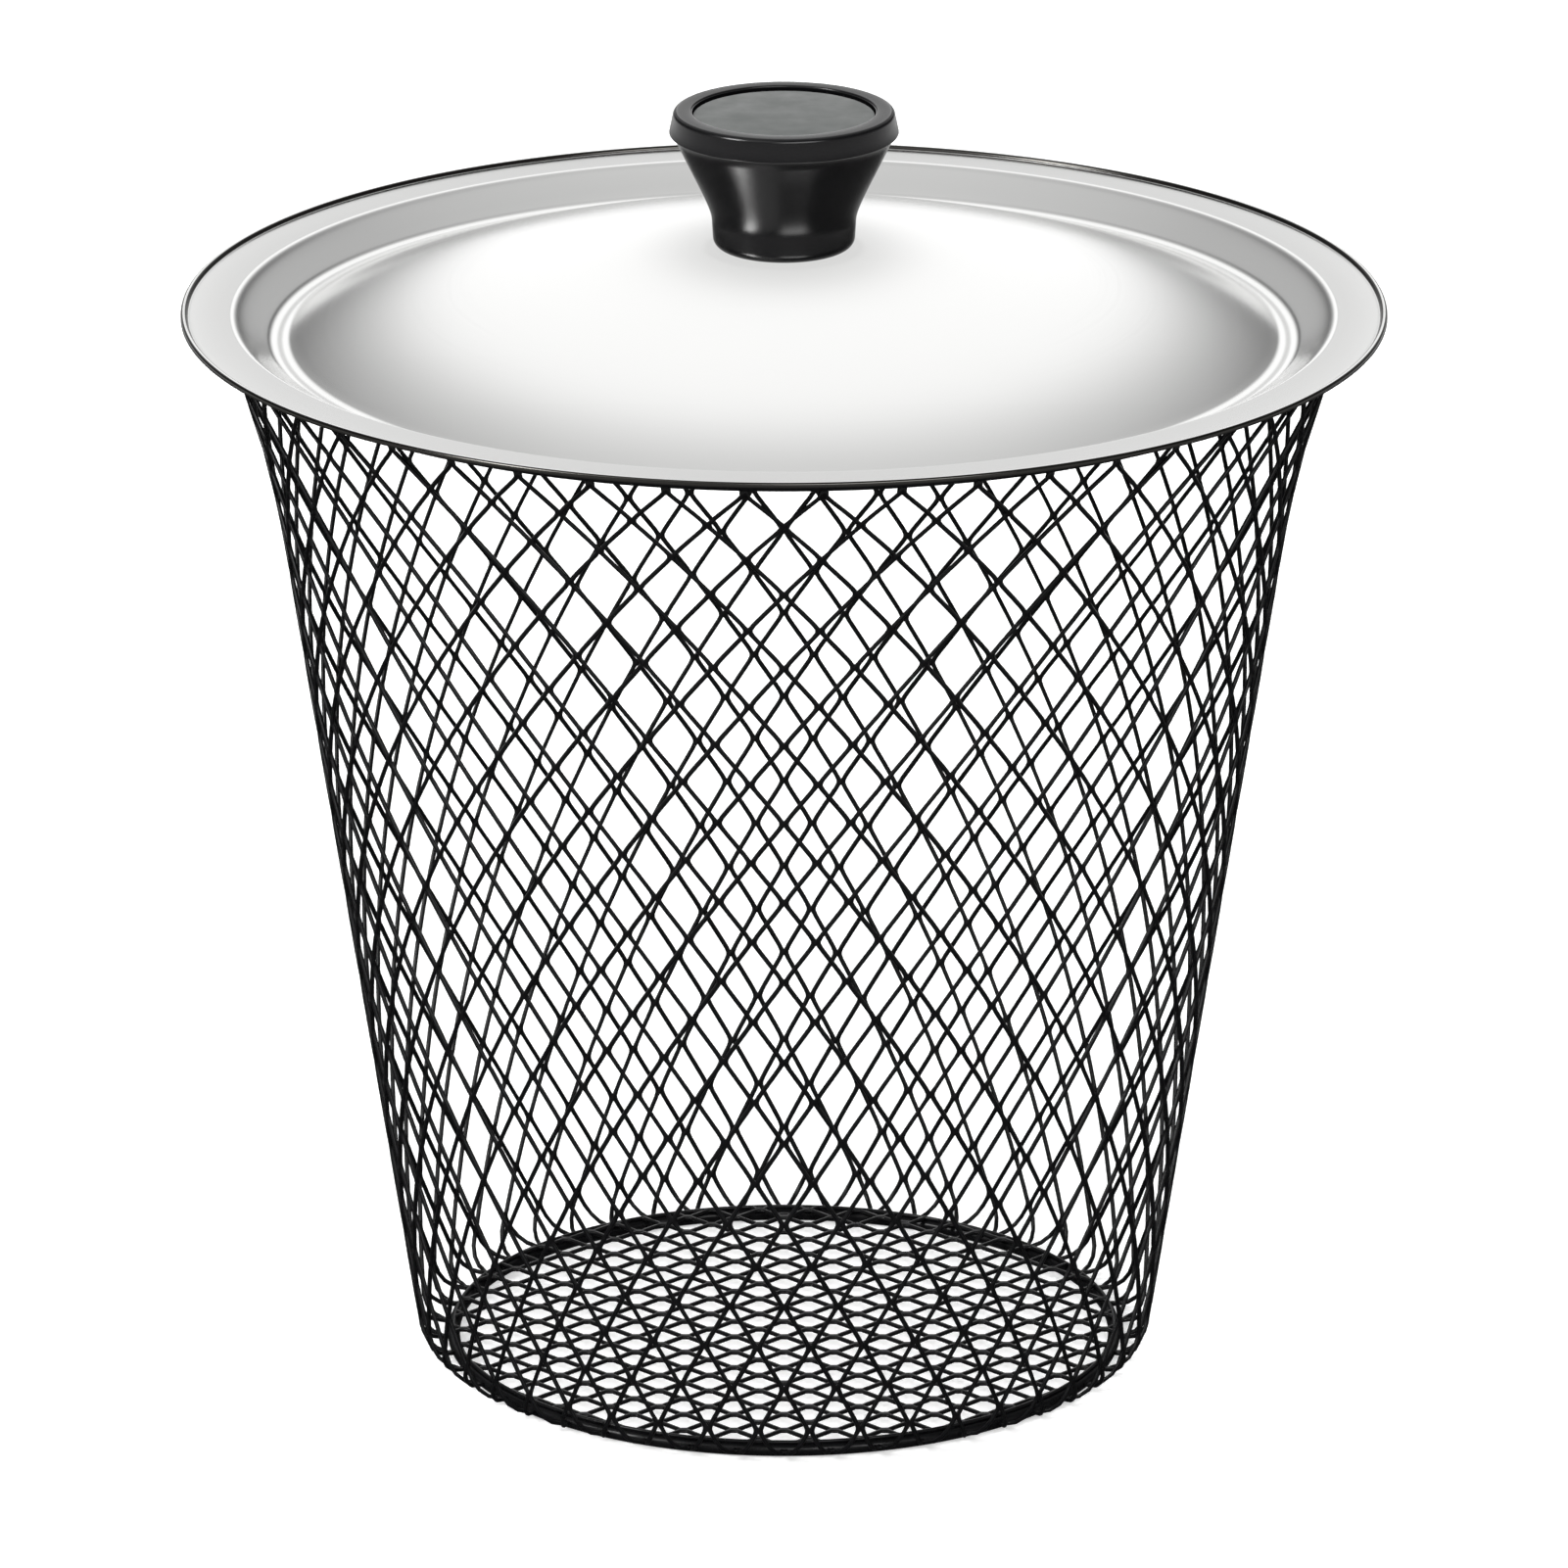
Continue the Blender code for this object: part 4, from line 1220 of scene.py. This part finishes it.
def make_floor(floor_colour, stage):
    """A wide pale disc, lifted to white where it is seen but still taking the shadow.

    Reflections see it dark near the basket, as with a black cloth laid round the stand.
    """
    mesh = bmesh.new()
    bmesh.ops.create_circle(mesh, cap_ends=True, radius=stage.floor_radius, segments=FLOOR_SIDES)
    data = plain_data(mesh, "studio_floor")
    floor = linked("studio_floor", data)
    floor.location.z = -stage.floor_drop
    material, tree, shader, place = new_material("pale_studio_floor")
    feed(tree, shader, {
        "Base Color": opaque(floor_colour), "Roughness": 1.0, "Specular IOR Level": 0.0,
        "Emission Color": WHITE, "Emission Strength": 0.5,
    })
    away = add_node(tree, "ShaderNodeVectorMath", {0: place}, operation="LENGTH").outputs["Value"]
    tone = add_node(tree, "ShaderNodeMapRange", {
        "Value": away, "From Min": stage.cloth_edge,
        "From Max": stage.cloth_edge + stage.cloth_fade, "To Min": 0.03, "To Max": 1.0,
    })
    card = add_node(tree, "ShaderNodeEmission", {"Color": WHITE, "Strength": tone})
    mirrored = add_node(tree, "ShaderNodeLightPath").outputs["Is Glossy Ray"]
    either = add_node(tree, "ShaderNodeMixShader", {0: mirrored, 1: shader, 2: card})
    feed(tree, tree.nodes["Material Output"], {"Surface": either})
    data.materials.append(material)


# What reflections see, as stops of ramps. CARDS follow the tilt of the sheet that mirrors them:
# a white oval card behind the dome, pale walls beyond it, a dark band for the lid's turned-up
# edge, and a dim room at the far end.
CARDS = (
    (0.0, 0.60), (0.07, 0.66), (0.13, 1.0), (0.28, 1.0), (0.36, 0.66), (0.42, 0.76),
    (0.50, 0.68), (0.60, 0.62), (0.68, 0.10), (0.90, 0.08), (0.955, 0.5), (1.0, 0.6),
)
# A frame round the oval that the foot of the dome mirrors: how much of it there is by tilt, and
# its tone by how far it lies to a side, darkest at the ends
FRAME_EDGE = ((0.30, 0.0), (0.42, 1.0), (0.45, 0.9), (0.52, 0.4), (0.60, 0.22), (0.68, 0.0))
FRAME_TONE = ((0.0, 0.57), (0.15, 0.53), (0.25, 0.42), (0.34, 0.30), (0.395, 0.18), (0.43, 0.07))
# On the camera's side, a bright strip to the left and a softer one ahead: their strength by
# azimuth, and by height
PANELS = (
    (-1.30, 0.0), (-1.15, 1.0), (-1.00, 1.0), (-0.85, 0.0), (-0.20, 0.0), (0.05, 0.28),
    (0.55, 0.28), (0.85, 0.0),
)
STRIPS = ((0.45, 0.0), (0.55, 1.0), (0.63, 1.0), (0.80, 0.0))


def make_world(scene, stage):
    """White where it is seen. Reflections see a studio that is laid out for the photograph's view.

    Level or tilted sheet mirrors the direction that lies as far beyond its normal as the viewer
    lies before it, so the cards behind the basket are placed by the tilt that mirrors them.
    """
    world = bpy.data.worlds.new("studio")
    world.use_nodes = True
    scene.world = world
    tree = world.node_tree
    way = add_node(tree, "ShaderNodeTexCoord").outputs["Generated"]
    way_xyz = add_node(tree, "ShaderNodeSeparateXYZ", {0: way}).outputs
    viewer = Vector((0.0, -stage.camera_distance, stage.camera_height - RIM_HIGH.z)).normalized()
    halfway = add_node(tree, "ShaderNodeVectorMath", {0: way, 1: viewer}, operation="ADD")
    normal = add_node(tree, "ShaderNodeVectorMath", {0: halfway}, operation="NORMALIZE")
    plan = add_node(tree, "ShaderNodeVectorMath", {0: normal, 1: IN_PLAN}, operation="MULTIPLY")
    tilt = add_node(tree, "ShaderNodeVectorMath", {0: plan}, operation="LENGTH").outputs["Value"]
    across = add_node(tree, "ShaderNodeSeparateXYZ", {0: normal}).outputs["X"]
    side = add_node(tree, "ShaderNodeMath", {0: across}, operation="ABSOLUTE")
    framed = add_node(
        tree, "ShaderNodeMix",
        {
            "Factor_Float": ramp(tree, tilt, FRAME_EDGE), "A_Float": ramp(tree, tilt, CARDS),
            "B_Float": ramp(tree, side, FRAME_TONE),
        },
        data_type="FLOAT",
    )
    ahead = add_node(tree, "ShaderNodeMath", {0: way_xyz["Y"], 1: -1.0}, operation="MULTIPLY")
    azimuth = add_node(tree, "ShaderNodeMath", {0: way_xyz["X"], 1: ahead}, operation="ARCTAN2")
    panels = ramp(tree, azimuth, PANELS, low=-math.pi, high=math.pi)
    strips = ramp(tree, way_xyz["Z"], STRIPS)
    lit = add_node(tree, "ShaderNodeMath", {0: panels, 1: strips}, operation="MULTIPLY")
    walls = add_node(
        tree, "ShaderNodeMath", {0: framed, 1: stage.card_light}, operation="MULTIPLY"
    )
    studio = add_node(
        tree, "ShaderNodeMath", {0: lit, 1: stage.strip_light, 2: walls}, operation="MULTIPLY_ADD"
    )
    path = add_node(tree, "ShaderNodeLightPath").outputs
    seen = add_node(
        tree, "ShaderNodeMath", {0: path["Is Camera Ray"], 1: path["Is Transmission Ray"]},
        operation="MAXIMUM",
    )
    strength = add_node(
        tree, "ShaderNodeMix", {"Factor_Float": seen, "A_Float": studio, "B_Float": 1.0},
        data_type="FLOAT",
    )
    feed(tree, tree.nodes["Background"], {"Color": WHITE, "Strength": strength})


def make_lamps(stage):
    """One large soft lamp above and in front, to the left."""
    light = bpy.data.lights.new("key_softbox", "AREA")
    light.shape = "DISK"
    light.size = stage.key_size
    light.energy = stage.key_power
    lamp = linked("key_softbox", light)
    lamp.location = stage.key_place
    aim = Vector((0.0, 0.0, RIM_HIGH.z / 2)) - lamp.location
    lamp.rotation_euler = aim.to_track_quat("-Z", "Y").to_euler()


def make_camera(scene, stage):
    """The photograph's viewing angle, from far off with a long lens, on a square picture."""
    camera = bpy.data.cameras.new("camera")
    view = linked("camera", camera)
    place = Vector((0.0, -stage.camera_distance, stage.camera_height))
    # The line of sight halves the angle between the basket's lowest and highest points
    lowest = Vector((0.0, -BASE_HIGH.x, 0.0)) - place
    highest = Vector((0.0, 0.0, KNOB_HIGH.z)) - place
    sight = (lowest.normalized() + highest.normalized()).normalized()
    half = lowest.angle(highest) / 2 / stage.fill
    view.location = place
    view.rotation_euler = sight.to_track_quat("-Z", "Y").to_euler()
    camera.sensor_fit = "HORIZONTAL"
    camera.lens = camera.sensor_width / 2 / math.tan(half)
    camera.clip_start, camera.clip_end = CLIP_RANGE
    scene.camera = view


OPERATORS = (
    MakeWireRings, MakeWallMesh, MakeFloorMesh, MakeLid, MakeKnob, MakeKnobFixing, MakeStage,
)


class BasketPanel(bpy.types.Panel):
    """Lists the basket's pieces and their sizes"""

    bl_idname = "VIEW3D_PT_compost_basket"
    bl_label = "Compost Basket"
    bl_space_type = "VIEW_3D"
    bl_region_type = "UI"
    bl_category = "Compost Basket"

    def draw(self, context):
        layout = self.layout
        for operator in OPERATORS:
            layout.operator(operator.bl_idname)
        basket = context.scene.compost_basket
        for group in BasketSettings.__annotations__:
            box = layout.box()
            box.label(text=group.title())
            settings = getattr(basket, group)
            for name in settings.__annotations__:
                box.prop(settings, name)


CLASSES = (
    WallSettings, FloorSettings, LidSettings, KnobSettings, FinishSettings, StageSettings,
    BasketSettings, *OPERATORS, BasketPanel,
)


def register():
    for cls in CLASSES:
        bpy.utils.register_class(cls)
    bpy.types.Scene.compost_basket = PointerProperty(type=BasketSettings)


def unregister():
    del bpy.types.Scene.compost_basket
    for cls in reversed(CLASSES):
        bpy.utils.unregister_class(cls)


def main():
    """Clears the default camera and lamp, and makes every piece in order."""
    for old in [o for o in bpy.data.objects if o.type in {"CAMERA", "LIGHT"}]:
        bpy.data.objects.remove(old)
    register()
    for operator in OPERATORS:
        getattr(bpy.ops.compost_basket, operator.bl_idname.split(".")[1])()


if __name__ == "__main__":
    main()
